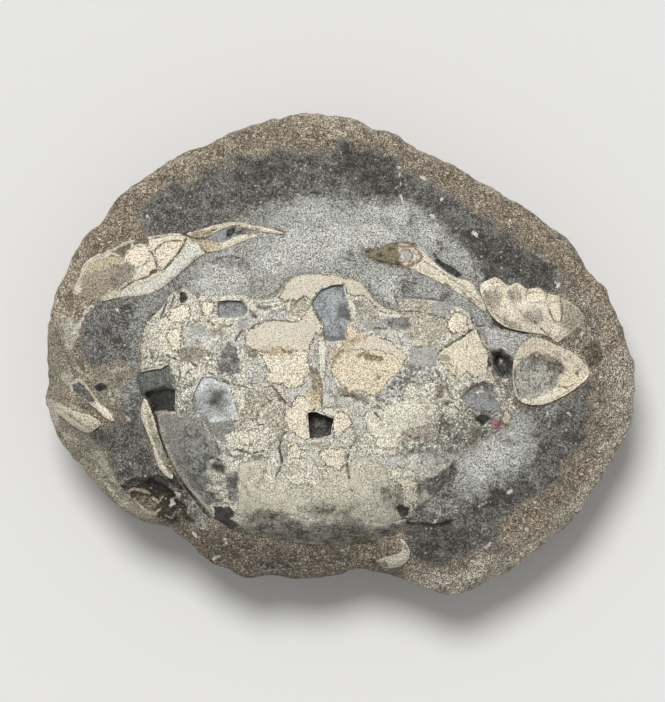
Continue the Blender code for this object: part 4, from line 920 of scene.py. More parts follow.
# painted shadow cast by the stone wall above the left claw
paint("palmHollowShadow", (0.1, 0.088, 0.058), (0.155, 0.14, 0.095), [
    [(112, 252), (122, 246), (132, 243), (132, 247), (127, 252), (125, 257), (118, 255)],
    [(133, 241.5), (140, 239), (149, 238), (150, 245), (142, 244), (134, 246)],
], soft=0.25, ragged=0.25, size=1.3, lift=-0.55)
paint("palmRim", (0.74, 0.69, 0.565), (0.62, 0.565, 0.445), [
    [(73, 286), (80, 284), (83, 292), (76, 296)],
], {
    0.7: [[(79, 286), (81, 275), (86, 266), (97, 258), (106, 253)],
    [(192, 232), (212, 227), (228, 223.5), (242, 223), (252, 226)], [(104, 299), (110, 292), (116, 295)]],
    0.6: [[(108, 252), (122, 245), (134, 240.5), (150, 236), (170, 233), (188, 232)]],
}, soft=0.2, ragged=0.25, lift=0.2, specks=0.05, pores=0.2, edge=0.4)
paint("palmCrack", (0.075, 0.06, 0.045), (0.13, 0.11, 0.08), [
    [(184, 240), (188, 238), (186, 244)], [(150, 272), (158, 269), (158, 273), (152, 275)],
], {
    0.4: [[(155, 251), (159, 246), (166, 242), (176, 240.5), (186, 242)]],
    0.5: [[(152, 252), (155, 258), (158, 268), (160, 271), (165, 270), (173, 261), (180, 252), (187, 240),
     (186, 234)], [(122, 290), (128, 286), (135, 281.5), (143, 279), (150, 277), (153, 271), (158, 270)]],
    0.45: [[(200, 245), (203, 249), (207, 253)]], 0.35: [[(108, 254), (116, 257), (124, 257)],
    [(212, 231), (226, 228), (240, 226)]], 0.3: [[(150, 239.5), (168, 236), (186, 236)]],
}, soft=0.18, ragged=0.22, size=1.4, lift=-0.25, specks=0, pores=0, grain=0.4)
carriers = rightFingerOnly
paint("fingerTip", (0.3, 0.25, 0.145), (0.175, 0.145, 0.085), [
    [(356, 254), (372, 250), (388, 244), (399, 242), (399, 266), (384, 264), (370, 260)],
], pores=1, grain=1)
paint("fingerRing", (0.3, 0.24, 0.15), (0.22, 0.175, 0.105), [], {
    0.8: [[(401, 247), (411, 246.5), (418, 251), (421, 258), (417, 263), (408, 266.5), (400, 266)]],
    0.45: [[(402, 251), (408, 250), (412, 255), (409, 262), (403, 262)]],
}, soft=0.25, ragged=0.3, size=1.4, lift=-0.1, specks=0, pores=0.4)
paint("fingerGrey", (0.42, 0.43, 0.41), (0.36, 0.37, 0.35), [
    [(402.5, 252), (408, 251.5), (410.5, 256), (408, 261), (403, 261)],
], soft=0.2, ragged=0.1, size=1.4, pores=0.2, grain=0.5)
paint("fingerPale", (0.74, 0.7, 0.6), (0.66, 0.6, 0.49), [
    [(412, 250), (417, 255), (417, 261), (411, 263), (412, 257)],
], {
    0.45: [[(400.5, 243), (400.5, 263)]], 0.4: [[(424, 262), (446, 276), (462, 286), (480, 304)]],
}, soft=0.2, ragged=0.15, size=1.4, lift=0.12, specks=0, pores=0.2, grain=0.5, edge=0.7)
paint("fingerLine", (0.15, 0.125, 0.08), (0.24, 0.2, 0.135), [
    [(428, 255), (436, 258), (444, 266), (440, 267), (432, 261)],
], {
    0.35: [[(398, 244), (398, 264)], [(444, 284), (460, 291), (474, 303), (484, 312)]],
    0.5: [[(366, 259), (384, 265), (400, 267)]], 0.4: [[(470, 282), (476, 290), (480, 302)],
    [(363, 253), (374, 250), (388, 245)]],
}, soft=0.2, ragged=0.3, size=1.4, lift=-0.15, specks=0, grain=0.5)
paint("fingerSpot", (0.06, 0.048, 0.032), (0.1, 0.08, 0.05), [
    [(376, 254), (381, 252), (383, 256), (378, 258)], [(388, 248), (393, 247), (394, 251), (389, 252)],
    [(366, 252), (372, 251), (371, 255)], [(396, 262), (402, 262), (400, 266), (395, 265)],
    [(384, 259), (390, 260), (388, 263)],
], soft=0.3, size=1.2, specks=0)
carriers = rightPalmOnly
paint("palmBlotch", (0.509, 0.461, 0.366), (0.424, 0.382, 0.302), [
    [(482, 302), (484, 292), (494, 290), (502, 296), (500, 308), (490, 312)],
    [(506, 292), (514, 288), (520, 296), (514, 306), (506, 302)],
    [(524, 312), (538, 308), (542, 320), (534, 326), (524, 322)],
    [(560, 300), (572, 304), (584, 314), (586, 322), (570, 332), (562, 324)],
    [(500, 318), (516, 322), (520, 330), (504, 326)],
], soft=0.9, ragged=1.1, size=1.8, specks=0.2, pores=1, grain=1, crackle=0.3)
paint("palmGlow", (0.846, 0.768, 0.595), (0.735, 0.656, 0.501), [
    [(547, 306), (551, 302), (560, 302), (560, 322), (553, 323), (549, 313)],
    [(524, 294), (540, 292), (552, 298), (540, 304), (526, 302)],
    [(490, 282), (499, 280), (504, 287), (496, 289)], [(552, 324), (562, 326), (558, 338), (548, 334)],
], soft=0.3, size=1.8, lift=0.1, specks=0.05, pores=0.4, edge=0.6)
paint("palmChip", (0.8, 0.77, 0.69), (0.7, 0.66, 0.57), [
    [(482, 284), (487, 283), (487, 291), (483, 290)], [(505, 299), (510, 300), (508, 303)],
], soft=0.2, ragged=0.2, size=1.2, lift=0.15, specks=0, pores=0, grain=0.3)
paint("palmScar", (0.12, 0.095, 0.065), (0.2, 0.165, 0.115), [], {
    0.45: [[(547, 309), (550, 315), (553, 321), (559, 322)],
    [(534, 322), (540, 329), (546, 334), (552, 340)]], 0.35: [[(508, 286), (509, 294), (513, 299)],
    [(484, 292), (488, 296)], [(560, 300), (562, 312), (560, 324)]], 0.3: [[(527, 289), (525, 296)],
    [(547, 294), (545, 300)], [(518, 310), (524, 318)], [(492, 313), (504, 321), (522, 327)]],
}, soft=0.2, ragged=0.3, size=1.3, lift=-0.22, specks=0, pores=0, grain=0.5)
carriers = wristOnly
paint("wristCore", (0.349, 0.338, 0.286), (0.435, 0.423, 0.366), [
    [(516, 366), (522, 358), (533, 354), (546, 355), (558, 360), (566, 368), (562, 380), (552, 388),
     (545, 396), (530, 399), (518, 395), (514, 380)],
], soft=0.5, ragged=0.7, size=2, lift=-0.35, specks=0.4, pores=0.8, grain=1, edge=0.35)
paint("wristBand", (0.135, 0.125, 0.1), (0.25, 0.23, 0.185), [
    [(524, 358), (532, 353), (546, 356), (560, 362), (564, 372), (556, 380), (550, 388), (545, 384),
     (550, 374), (542, 366), (532, 362)],
], soft=0.6, ragged=1, size=1.4, lift=-0.2, specks=0.9, pores=0.6, grain=1)
paint("wristCream", (0.759, 0.676, 0.522), (0.649, 0.567, 0.418), [
    [(556, 384), (560, 374), (568, 368), (580, 364), (586, 374), (576, 386), (562, 394)],
    [(520, 348), (532, 340), (546, 344), (560, 352), (556, 358), (540, 352), (526, 354)],
    [(516, 396), (526, 402), (545, 402), (562, 394), (560, 398), (543, 405), (526, 405)],
], ragged=0.6, size=1.8, lift=0.1, specks=0.05, pores=0.6, grain=0.7, edge=0.3)
paint("wristScar", (0.1, 0.08, 0.055), (0.18, 0.145, 0.1), [
    [(573, 373), (578, 371), (577, 375)],
], {
    0.45: [[(558, 386), (566, 388), (573, 384)]], 0.35: [[(568, 352), (572, 362), (580, 370)],
    [(514, 366), (514, 382), (518, 396)]], 0.3: [[(548, 350), (560, 356), (568, 362)]],
}, soft=0.2, ragged=0.3, size=1.2, lift=-0.2, specks=0, pores=0.2, grain=0.5)
carriers = bladeOnly
paint("bladeFace", (0.264, 0.242, 0.18), (0.365, 0.334, 0.268), [
    [(148, 406), (153, 418), (157, 430), (162, 444), (168, 456), (174, 468), (170, 474), (164, 464),
     (158, 452), (153, 438), (148, 420)],
], soft=0.5, ragged=0.4, lift=-0.15, pores=0.5, grain=0.8)
# painted shade along the blade's right side, and two dark spots on it
paint("bladeDarkAndShade", (0.102, 0.09, 0.066), (0.18, 0.162, 0.12), [
    [(166, 466), (176, 464), (179, 471), (173, 475)], [(163, 446), (166, 444), (167, 449), (164, 450)],
], {
    0.45: [[(151, 404), (157, 420), (161, 434), (168, 450), (178, 468)]],
}, soft=0.35, ragged=0.4, size=1.3, lift=-0.2, pores=0.2)
# painted highlight on the blade's lit left edge
paint("bladeLitEdge", (0.699, 0.653, 0.534), (0.589, 0.543, 0.432), [
    [(144, 402), (148, 404), (148, 416), (145, 414)],
], {
    0.8: [[(144.5, 402), (143.5, 416), (149, 434), (155, 454), (162, 469), (172, 478)]],
    0.45: [[(172, 478), (175, 472), (178, 471)]],
}, soft=0.22, ragged=0.25, lift=0.25, specks=0.05, pores=0.2, edge=0.3)
carriers = legsOnly
paint("legSlot", (0.085, 0.083, 0.075), (0.15, 0.145, 0.13), [
    [(73, 385), (80, 382), (88, 390), (96, 401), (92, 404), (82, 396), (74, 391)],
], soft=0.3, ragged=0.3, size=1.5, lift=-0.9, specks=0.4, pores=0.2, grain=0.8)
paint("legPale", (0.824, 0.764, 0.643), (0.704, 0.631, 0.509), [
    [(96, 400), (106, 406), (112, 412), (117, 422), (107, 418), (97, 409), (94, 404)],
], {
    0.6: [[(71, 379), (82, 380), (92, 388), (100, 400)]],
}, soft=0.25, ragged=0.3, size=1.5, lift=0.15, specks=0.05, pores=0.4, grain=0.7, edge=0.4)
paint("legYellow", (0.66, 0.611, 0.457), (0.517, 0.468, 0.33), [
    [(66, 408), (80, 408), (92, 414), (102, 421), (96, 426), (86, 427), (74, 418)],
], size=1.5, specks=0.05, pores=0.6, grain=0.8, edge=0.3)
paint("legStripe", (0.22, 0.195, 0.14), (0.32, 0.29, 0.215), [], {
    0.6: [[(58, 408), (72, 416), (86, 427), (92, 430)]], 0.4: [[(70, 409), (84, 411), (98, 419)]],
    0.5: [[(60, 404), (74, 409)]],
}, soft=0.25, ragged=0.3, size=1.4, lift=-0.15, specks=0)
paint("hookCream", (0.68, 0.63, 0.52), (0.56, 0.51, 0.41), [
    [(398, 540), (406, 542), (410, 554), (404, 562), (394, 566), (384, 564), (390, 558), (400, 554),
     (402, 546)],
], soft=0.3, ragged=0.4, size=1.5, pores=0.6, grain=0.8, crackle=0.4, edge=0.4)
paint("hookDark", (0.17, 0.145, 0.105), (0.28, 0.245, 0.185), [
    [(376, 562), (386, 559), (388, 567), (378, 568)], [(404, 545), (408, 548), (407, 556)],
], size=1.3, specks=0.3, pores=0.5, grain=0.9)


def paintField(x, y, entry, seed):
    # distance inside the paint, with a ragged edge
    reach = entry["soft"] + 1.6 * entry["ragged"] + 1.0
    field = np.full(x.shape, -reach)
    for outline in entry["areas"]:
        field = np.maximum(field, nearField(x, y, outline, reach))
    for line, width in entry["lines"]:
        field = np.maximum(field, nearLine(x, y, line, width, reach))
    if entry["ragged"]:
        field = field + entry["ragged"] * roughness(x, y, entry["size"], seed, 3, 0.6)
    return field


# textures of the stone and shell; a noise has its size in mm, its detail and its offset
texture = {
    "mottle": (3.2, 3, 3.1), "crumb": (0.86, 2, 11.3), "grit": (0.32, 1, 23.9), "pore": (0.42, 1.5, 41.7),
    "worm": (1.35, 2, 61.3), "speckCell": 1.5, "crackleCell": 1.9,
    "blend": (0.79, 1.11),  # where a paint's colour turns to its variation
    "mottleShare": 2.1, "crumbShare": 3.0, "gritShare": 6.5, "gritPeaks": 7.0, "gritRest": 0.35,
    "darkTone": 0.08, "paleTone": 0.42,  # the grain changes its kind between these tones
    "paleGlint": 0.26, "darkPit": -0.8, "palePit": -1.5,
    "poreRange": (0.435, 0.385), "poreShare": 0.85, "poreTint": (0.11, 0.085, 0.056, 1),
    "edgeGaps": (0.60, 0.46), "edgeInset": 0.12, "edgeWidth": (0.12, 0.42),
    "edgeTint": (0.10, 0.085, 0.062, 1),
    "crackWidth": (0.02, 0.11), "wormWidth": (0.008, 0.035), "crackShare": 0.85,
    "crackTint": (0.11, 0.09, 0.065, 1), "bumpDepth": 0.5,
}
# a few bright and black specks, at most one to a cell: tint, size of the cell, strength
speckKinds = (((0.80, 0.78, 0.70, 1), 1.0, 0.55), ((0.03, 0.027, 0.022, 1), 0.8, 0.8))


def plug(tree, socket, value):
    if isinstance(value, bpy.types.NodeSocket):
        tree.links.new(value, socket)
    else:
        socket.default_value = value


def makeMixer(tree, kind, factor, first, second):
    node = tree.nodes.new("ShaderNodeMix")
    node.data_type = "RGBA"
    node.blend_type = kind
    for number, value in ((0, factor), (6, first), (7, second)):
        plug(tree, node.inputs[number], value)
    return node.outputs[2]


def makeMath(tree, operation, *values):
    node = tree.nodes.new("ShaderNodeMath")
    node.operation = operation
    for socket, value in zip(node.inputs, values):
        plug(tree, socket, value)
    return node.outputs[0]


def makeRange(tree, value, ends, toLow=0.0, toHigh=1.0):
    node = tree.nodes.new("ShaderNodeMapRange")
    node.interpolation_type = "SMOOTHSTEP"
    for socket, part in zip(node.inputs, (value, *ends, toLow, toHigh)):
        plug(tree, socket, part)
    return node.outputs[0]


def makeScaled(tree, place, size, shift=(0, 0, 0)):
    mapping = tree.nodes.new("ShaderNodeMapping")
    mapping.inputs["Location"].default_value = shift
    mapping.inputs["Scale"].default_value = (1 / (size * mm),) * 3
    tree.links.new(place, mapping.inputs["Vector"])
    return mapping.outputs[0]


def makeNoise(tree, place, kind):
    size, detail, offset = texture[kind]
    noise = tree.nodes.new("ShaderNodeTexNoise")
    noise.inputs["Scale"].default_value = 1.0
    noise.inputs["Detail"].default_value = detail
    noise.inputs["Roughness"].default_value = 0.6
    scaled = makeScaled(tree, place, size, (offset, 1.7 * offset, -offset))
    tree.links.new(scaled, noise.inputs["Vector"])
    return noise.outputs["Fac"]


def makeCells(tree, place, feature):
    cells = tree.nodes.new("ShaderNodeTexVoronoi")
    cells.feature = feature
    cells.inputs["Scale"].default_value = 1.0
    tree.links.new(place, cells.inputs["Vector"])
    return cells.outputs


def makeParts(tree, value):
    parts = tree.nodes.new("ShaderNodeSeparateColor")
    plug(tree, parts.inputs[0], value)
    return parts.outputs


def fossilFinish(name, look, used):
    finish = bpy.data.materials.new(name)
    finish.use_nodes = True
    tree = finish.node_tree
    shader = tree.nodes["Principled BSDF"]
    place = tree.nodes.new("ShaderNodeTexCoord").outputs["Object"]

    mix, calc, ramp = partial(makeMixer, tree), partial(makeMath, tree), partial(makeRange, tree)
    mottle, crumb, grit, poreNoise, wormNoise = (
        makeNoise(tree, place, kind) for kind in ("mottle", "crumb", "grit", "pore", "worm"))
    fray = calc("SUBTRACT", crumb, 0.5)
    broken = ramp(poreNoise, texture["edgeGaps"])
    blend = ramp(calc("ADD", mottle, calc("MULTIPLY", crumb, 0.9)), texture["blend"])

    colour = mix("MIX", blend, (*look["colour"], 1), (*look["other"], 1))
    traits = (look["specks"], look["grain"], look["crackle"], 1)
    porous = (look["pores"], 0, 0, 1)
    for entry in used:
        attribute = tree.nodes.new("ShaderNodeAttribute")
        attribute.attribute_name = entry["name"]
        frayed = 0.5 + 1.2 * min(entry["soft"], 2.0)
        wobble = calc("MULTIPLY_ADD", fray, frayed, attribute.outputs["Fac"])
        mask = ramp(wobble, (-entry["soft"], entry["soft"]))
        tone = mix("MIX", blend, (*entry["colour"], 1), (*entry["other"], 1))
        colour = mix("MIX", mask, colour, tone)
        if entry["edge"]:
            line = calc("ABSOLUTE", calc("SUBTRACT", wobble, texture["edgeInset"]))
            line = calc("MULTIPLY", ramp(line, texture["edgeWidth"], entry["edge"], 0.0), broken)
            colour = mix("MIX", line, colour, texture["edgeTint"])
        traits = mix("MIX", mask, traits, (entry["specks"], entry["grain"], entry["crackle"], 1))
        porous = mix("MIX", mask, porous, (entry["pores"], 0, 0, 1))
    specks, grain, crackle = makeParts(tree, traits)
    pores = makeParts(tree, porous)[0]

    # grains; pale ground shows dark pits, dark ground shows light flecks
    fleck = calc("SUBTRACT", grit, 0.5)
    sparse = calc("MULTIPLY_ADD", calc("ABSOLUTE", fleck), texture["gritPeaks"], texture["gritRest"])
    shade = calc("MULTIPLY", calc("MULTIPLY", fleck, sparse), texture["gritShare"])
    shade = calc("MULTIPLY_ADD", fray, texture["crumbShare"], shade)
    shade = calc("MULTIPLY_ADD", calc("SUBTRACT", mottle, 0.5), texture["mottleShare"], shade)
    shade = calc("MULTIPLY", shade, grain)
    tone = tree.nodes.new("ShaderNodeRGBToBW")
    tree.links.new(colour, tone.inputs[0])
    tones = (texture["darkTone"], texture["paleTone"])
    shade = calc("MINIMUM", shade, ramp(tone.outputs[0], tones, look["glint"], texture["paleGlint"]))
    shade = calc("MAXIMUM", shade, ramp(tone.outputs[0], tones, texture["darkPit"], texture["palePit"]))
    shade = calc("POWER", 2.718, shade)
    grey = tree.nodes.new("ShaderNodeCombineColor")
    for socket in grey.inputs:
        tree.links.new(shade, socket)
    colour = mix("MULTIPLY", 1.0, colour, grey.outputs[0])

    # dark pores, as irregular as the noise they are cut from
    hole = calc("MULTIPLY", ramp(poreNoise, texture["poreRange"]), pores)
    colour = mix("MIX", calc("MULTIPLY", hole, texture["poreShare"]), colour, texture["poreTint"])

    for k, (tint, size, amount) in enumerate(speckKinds):
        scaled = makeScaled(tree, place, texture["speckCell"] * size, (5.3 * k, 2.1, 7.7 * k))
        cells = makeCells(tree, scaled, "F1")
        chance = makeParts(tree, cells["Color"])[0]
        radius = calc("MULTIPLY", calc("MAXIMUM", calc("SUBTRACT", chance, 0.55), 0.0), 0.75)
        radius = calc("MULTIPLY", radius, specks)
        spot = calc("SUBTRACT", radius, calc("MULTIPLY_ADD", fray, 0.25, cells["Distance"]))
        colour = mix("MIX", ramp(spot, (-0.06, 0.03), 0.0, amount), colour, tint)

    # fine cracks in the crust: a bent net of cells, and winding lines
    scaled = makeScaled(tree, place, texture["crackleCell"])
    swirl = tree.nodes.new("ShaderNodeTexNoise")
    swirl.inputs["Scale"].default_value = 1.6
    tree.links.new(scaled, swirl.inputs["Vector"])
    bent = tree.nodes.new("ShaderNodeVectorMath")
    bent.operation = "MULTIPLY_ADD"
    for socket, value in zip(bent.inputs, (swirl.outputs["Color"], (0.9, 0.9, 0.9), scaled)):
        plug(tree, socket, value)
    net = makeCells(tree, bent.outputs[0], "DISTANCE_TO_EDGE")["Distance"]
    crack = calc("MULTIPLY", ramp(net, texture["crackWidth"], 1.0, 0.0), ramp(mottle, (0.42, 0.58)))
    worm = calc("ABSOLUTE", calc("SUBTRACT", wormNoise, 0.5))
    worm = calc("MULTIPLY", ramp(worm, texture["wormWidth"], 1.0, 0.0), ramp(crumb, (0.42, 0.52)))
    crack = calc("MULTIPLY", calc("MAXIMUM", crack, worm), crackle)
    crack = calc("MULTIPLY", crack, texture["crackShare"])
    colour = mix("MIX", crack, colour, texture["crackTint"])
    tree.links.new(colour, shader.inputs["Base Color"])

    height = calc("MULTIPLY_ADD", crumb, 1.0, calc("MULTIPLY", grit, 0.6))
    height = calc("MULTIPLY", height, calc("MULTIPLY_ADD", grain, 0.9, 0.1))
    height = calc("SUBTRACT", height, calc("MULTIPLY", crack, 0.7))
    height = calc("SUBTRACT", height, calc("MULTIPLY", hole, 0.5))
    bump = tree.nodes.new("ShaderNodeBump")
    bump.inputs["Strength"].default_value = look["bump"]
    bump.inputs["Distance"].default_value = texture["bumpDepth"] * mm
    tree.links.new(height, bump.inputs["Height"])
    tree.links.new(bump.outputs[0], shader.inputs["Normal"])
    dull = ramp(crumb, (0.3, 0.7), look["roughness"], look["roughness"] + 0.15)
    tree.links.new(dull, shader.inputs["Roughness"])
    shader.inputs["Specular IOR Level"].default_value = 0.35
    return finish


def paintsOn(pieceName, x, y):
    # the paints that reach this piece, with their fields over its points
    found = []
    for index, entry in enumerate(paints):
        if pieceName not in entry["carriers"]:
            continue
        field = paintField(x, y, entry, 100 + 7 * index)
        if field.max() > -0.3:
            found.append((entry, field))
    return found


def paintLift(found):
    lift = 0.0
    for entry, field in found:
        if entry["lift"]:
            lift = lift + entry["lift"] * smoothstep(-0.3, 0.3, field)
    return lift


def places(mesh):
    co = np.empty(len(mesh.vertices) * 3)
    mesh.vertices.foreach_get("co", co)
    return co.reshape(-1, 3)


def toMesh(bm, name):
    bmesh.ops.triangulate(bm, faces=[f for f in bm.faces if len(f.verts) > 4])
    bmesh.ops.recalc_face_normals(bm, faces=bm.faces)
    mesh = bpy.data.meshes.new(name)
    bm.to_mesh(mesh)
    bm.free()
    return mesh


def setHeights(mesh, x, y, z):
    mesh.vertices.foreach_set("co", (np.column_stack([x, y, z]) * mm).ravel())
    mesh.update()


def putInScene(name, data):
    thing = bpy.data.objects.new(name, data)
    bpy.context.scene.collection.objects.link(thing)
    return thing


def addPiece(name, mesh, found, look, replaced):
    for entry, field in found:
        layer = mesh.attributes.new(entry["name"], "FLOAT", "POINT")
        layer.data.foreach_set("value", np.clip(field, -4, 4).astype(np.float32))
    piece = putInScene(name + "_worn", mesh)
    mesh.materials.append(fossilFinish(name + "Finish", look, [entry for entry, _ in found]))
    mesh.shade_smooth()
    mesh.set_sharp_from_angle(angle=math.radians(55))
    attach(piece, "root")
    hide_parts(replaced)
    print(f"{name}: {len(mesh.polygons)} faces, {len(found)} paints")


noduleLook = {
    "colour": (0.75, 0.636, 0.482), "other": (0.285, 0.238, 0.178), "specks": 0.8, "pores": 0.9,
    "grain": 1.4, "glint": 0.9, "crackle": 0.85, "bump": 1.1, "roughness": 0.78,
}
inlays = {
    "left_claw_palm": leftPalm, "left_claw_finger": leftFinger, "right_claw_palm": rightPalm,
    "right_claw_finger": rightFinger, "right_claw_wrist": rightWrist, "side_plate": sidePlate,
    "leg_fragment_front": legFront, "leg_fragment_rear": legRear, "rear_hook": rearHook,
}
inlayCurves = {name: roundedCurve(outline, 1.2) for name, outline in inlays.items()}
windowCurves = {name: onStone(window["outline"]) for name, window in windows.items()}
shellEdge = roundedCurve(backShell, 1.5)


def bedDepth(x, y):
    # how far the stone lies below the worn surface: under pieces, in windows and in pits
    depth = stone["shellBed"] * smoothstep(0.3, 1.0, nearField(x, y, shellEdge, 3.0))
    for curve in inlayCurves.values():
        depth = np.maximum(depth, stone["inlayBed"] * smoothstep(0.35, 1.0, nearField(x, y, curve, 2.0)))
    for name, curve in windowCurves.items():
        seen = smoothstep(-0.9, -0.35, nearField(x, y, curve, 3.0))
        depth = depth * (1 - seen) + windows[name]["depth"] * seen
    pit = nearField(x, y, onStone(wristPit), 3.0) + 0.35 * roughness(x, y, 1.6, 61)
    depth = np.maximum(depth, stone["wristPitDepth"] * smoothstep(-0.2, 1.3, pit))
    hx, hy = x - hollow["centre"][0], y - hollow["centre"][1]
    turn = math.radians(hollow["turn"])
    u = (hx * math.cos(turn) + hy * math.sin(turn)) / hollow["halfAxes"][0]
    v = (-hx * math.sin(turn) + hy * math.cos(turn)) / hollow["halfAxes"][1]
    bowl = 1 - (u**2 + v**2) * (1 + 0.25 * roughness(x, y, 4, 71))
    return depth + hollow["depth"] * np.sqrt(np.clip(bowl, 0, 1)) * smoothstep(0, 0.25, bowl)


def stoneRelief(x, y):
    share = shareOut(x, y)
    rind = smoothstep(0.72, 0.92, share)
    steps = roughness(x, y, stone["flakeSize"], 201, 3, 0.6) * stone["flakeLayers"]
    flakes = np.floor(steps) + smoothstep(0.3, 0.7, steps - np.floor(steps))
    anywhere, onRind = stone["flakeHeight"]
    relief = (anywhere + onRind * rind) * flakes
    anywhere, onRind = stone["gritHeight"]
    relief = relief + (anywhere + onRind * rind) * roughness(x, y, stone["gritSize"], 231, 3, 0.7)
    return relief * (1 - 0.5 * smoothstep(0.97, 1.0, share))


def sheetPlace(points):
    # the direction and share of its reach that a point of a ball stands for, and if it is below
    angle = np.arctan2(points[:, 1], points[:, 0])
    tilt = np.arccos(np.clip(points[:, 2], -1, 1)) / (math.pi / 2)
    return angle, np.where(tilt <= 1, tilt, 2 - tilt), tilt > 1


def noduleBall():
    # a ball of squares, finer where the stone shows from above and on its flank
    bm = bmesh.new()
    bmesh.ops.create_cube(bm, size=2.0)
    bmesh.ops.subdivide_edges(bm, edges=bm.edges[:], cuts=stone["cells"] - 1, use_grid_fill=True)
    for vert in bm.verts:
        vert.co = [math.tan(c * math.pi / 4) for c in vert.co]
        vert.co.normalize()
    bm.faces.ensure_lookup_table()
    middles = np.array([f.calc_center_median() for f in bm.faces])
    middles /= np.linalg.norm(middles, axis=1)[:, None]
    angle, share, under = sheetPlace(middles)
    x, y = share * rimRadius(angle) * np.cos(angle), share * rimRadius(angle) * np.sin(angle)
    hidden = stone["hiddenMargin"]
    covered = nearField(x, y, shellEdge, 6.0) > hidden
    for curve in inlayCurves.values():
        covered |= nearField(x, y, curve, 6.0) > hidden
    for curve in windowCurves.values():
        covered &= nearField(x, y, curve, 6.0) < -hidden
    fineFaces = [f for f, c, u in zip(bm.faces, covered, under) if not c and not u]
    edges = {e for f in fineFaces for e in f.edges}
    lowFaces = [f for f, u, s in zip(bm.faces, under, share) if u and s > stone["flatShare"] - 0.05]
    lowEdges = {e for f in lowFaces for e in f.edges} - edges
    bmesh.ops.subdivide_edges(bm, edges=list(edges), cuts=stone["finer"], use_grid_fill=True)
    lowEdges = [e for e in lowEdges if e.is_valid]
    bmesh.ops.subdivide_edges(bm, edges=lowEdges, cuts=stone["underFiner"], use_grid_fill=True)
    return toMesh(bm, "nodule")


def buildNodule():
    mesh = noduleBall()
    ball = places(mesh)
    ball /= np.linalg.norm(ball, axis=1)[:, None]
    angle, share, under = sheetPlace(ball)
    reach = share * rimRadius(angle)
    # the rim is rough, and stays inside its outline
    around = (30 * np.cos(angle) + 3 * ball[:, 2], 30 * np.sin(angle))
    rimRough = roughness(*around, stone["rimRoughSize"], 301, 4, 0.75)
    reach *= 1 - smoothstep(0.8, 1.0, share) * (stone["rimWear"] + stone["rimWear"] * rimRough)
    x, y = reach * np.cos(angle), reach * np.sin(angle)
    found = paintsOn("nodule", x, y)
    top = land(x, y) - bedDepth(x, y) + stoneRelief(x, y)
    top += paintLift(found) * (1 - smoothstep(0.93, 1, share))
    outward = np.clip((share - stone["flatShare"]) / (1 - stone["flatShare"]), 0, 1)
    low = rimHeight(angle) * (1 - (1 - outward**2.2) ** 0.6)
    toRim = 1 - smoothstep(0.9, 1, outward)
    waves = stone["underWaveHeight"] * waviness(x, y, stone["underWaveSize"], 3)
    low += waves * smoothstep(0.25, 0.6, outward) * toRim
    grit = stone["underGritHeight"] * roughness(x, y, stone["underGritSize"], 401)
    low += grit * smoothstep(0.1, 0.3, outward) * toRim
    z = np.where(under, np.maximum(low, 0), top)
    setHeights(mesh, x, y, z)
    # the marks of the upper side fade out down the flank
    ends = stone["fadeHeight"] + stone["fadeWave"] * waviness(x, y, 9, 5)
    fade = stone["fadeRate"] * np.clip(ends - z, 0, None) * under
    found = [(entry, field - fade) for entry, field in found]
    addPiece("nodule", mesh, found, noduleLook, "nodule")


def snapToEdge(points, edgeField):
    tiny = 0.02
    for _ in range(3):
        x, y = points[:, 0], points[:, 1]
        here = edgeField(x, y)
        gx = (edgeField(x + tiny, y) - edgeField(x - tiny, y)) / (2 * tiny)
        gy = (edgeField(x, y + tiny) - edgeField(x, y - tiny)) / (2 * tiny)
        size = np.maximum(np.hypot(gx, gy), 0.3)
        points = points - (here / size**2)[:, None] * np.column_stack([gx, gy])
    return points


def facesOf(geom):
    return [f for f in geom if isinstance(f, bmesh.types.BMFace)]


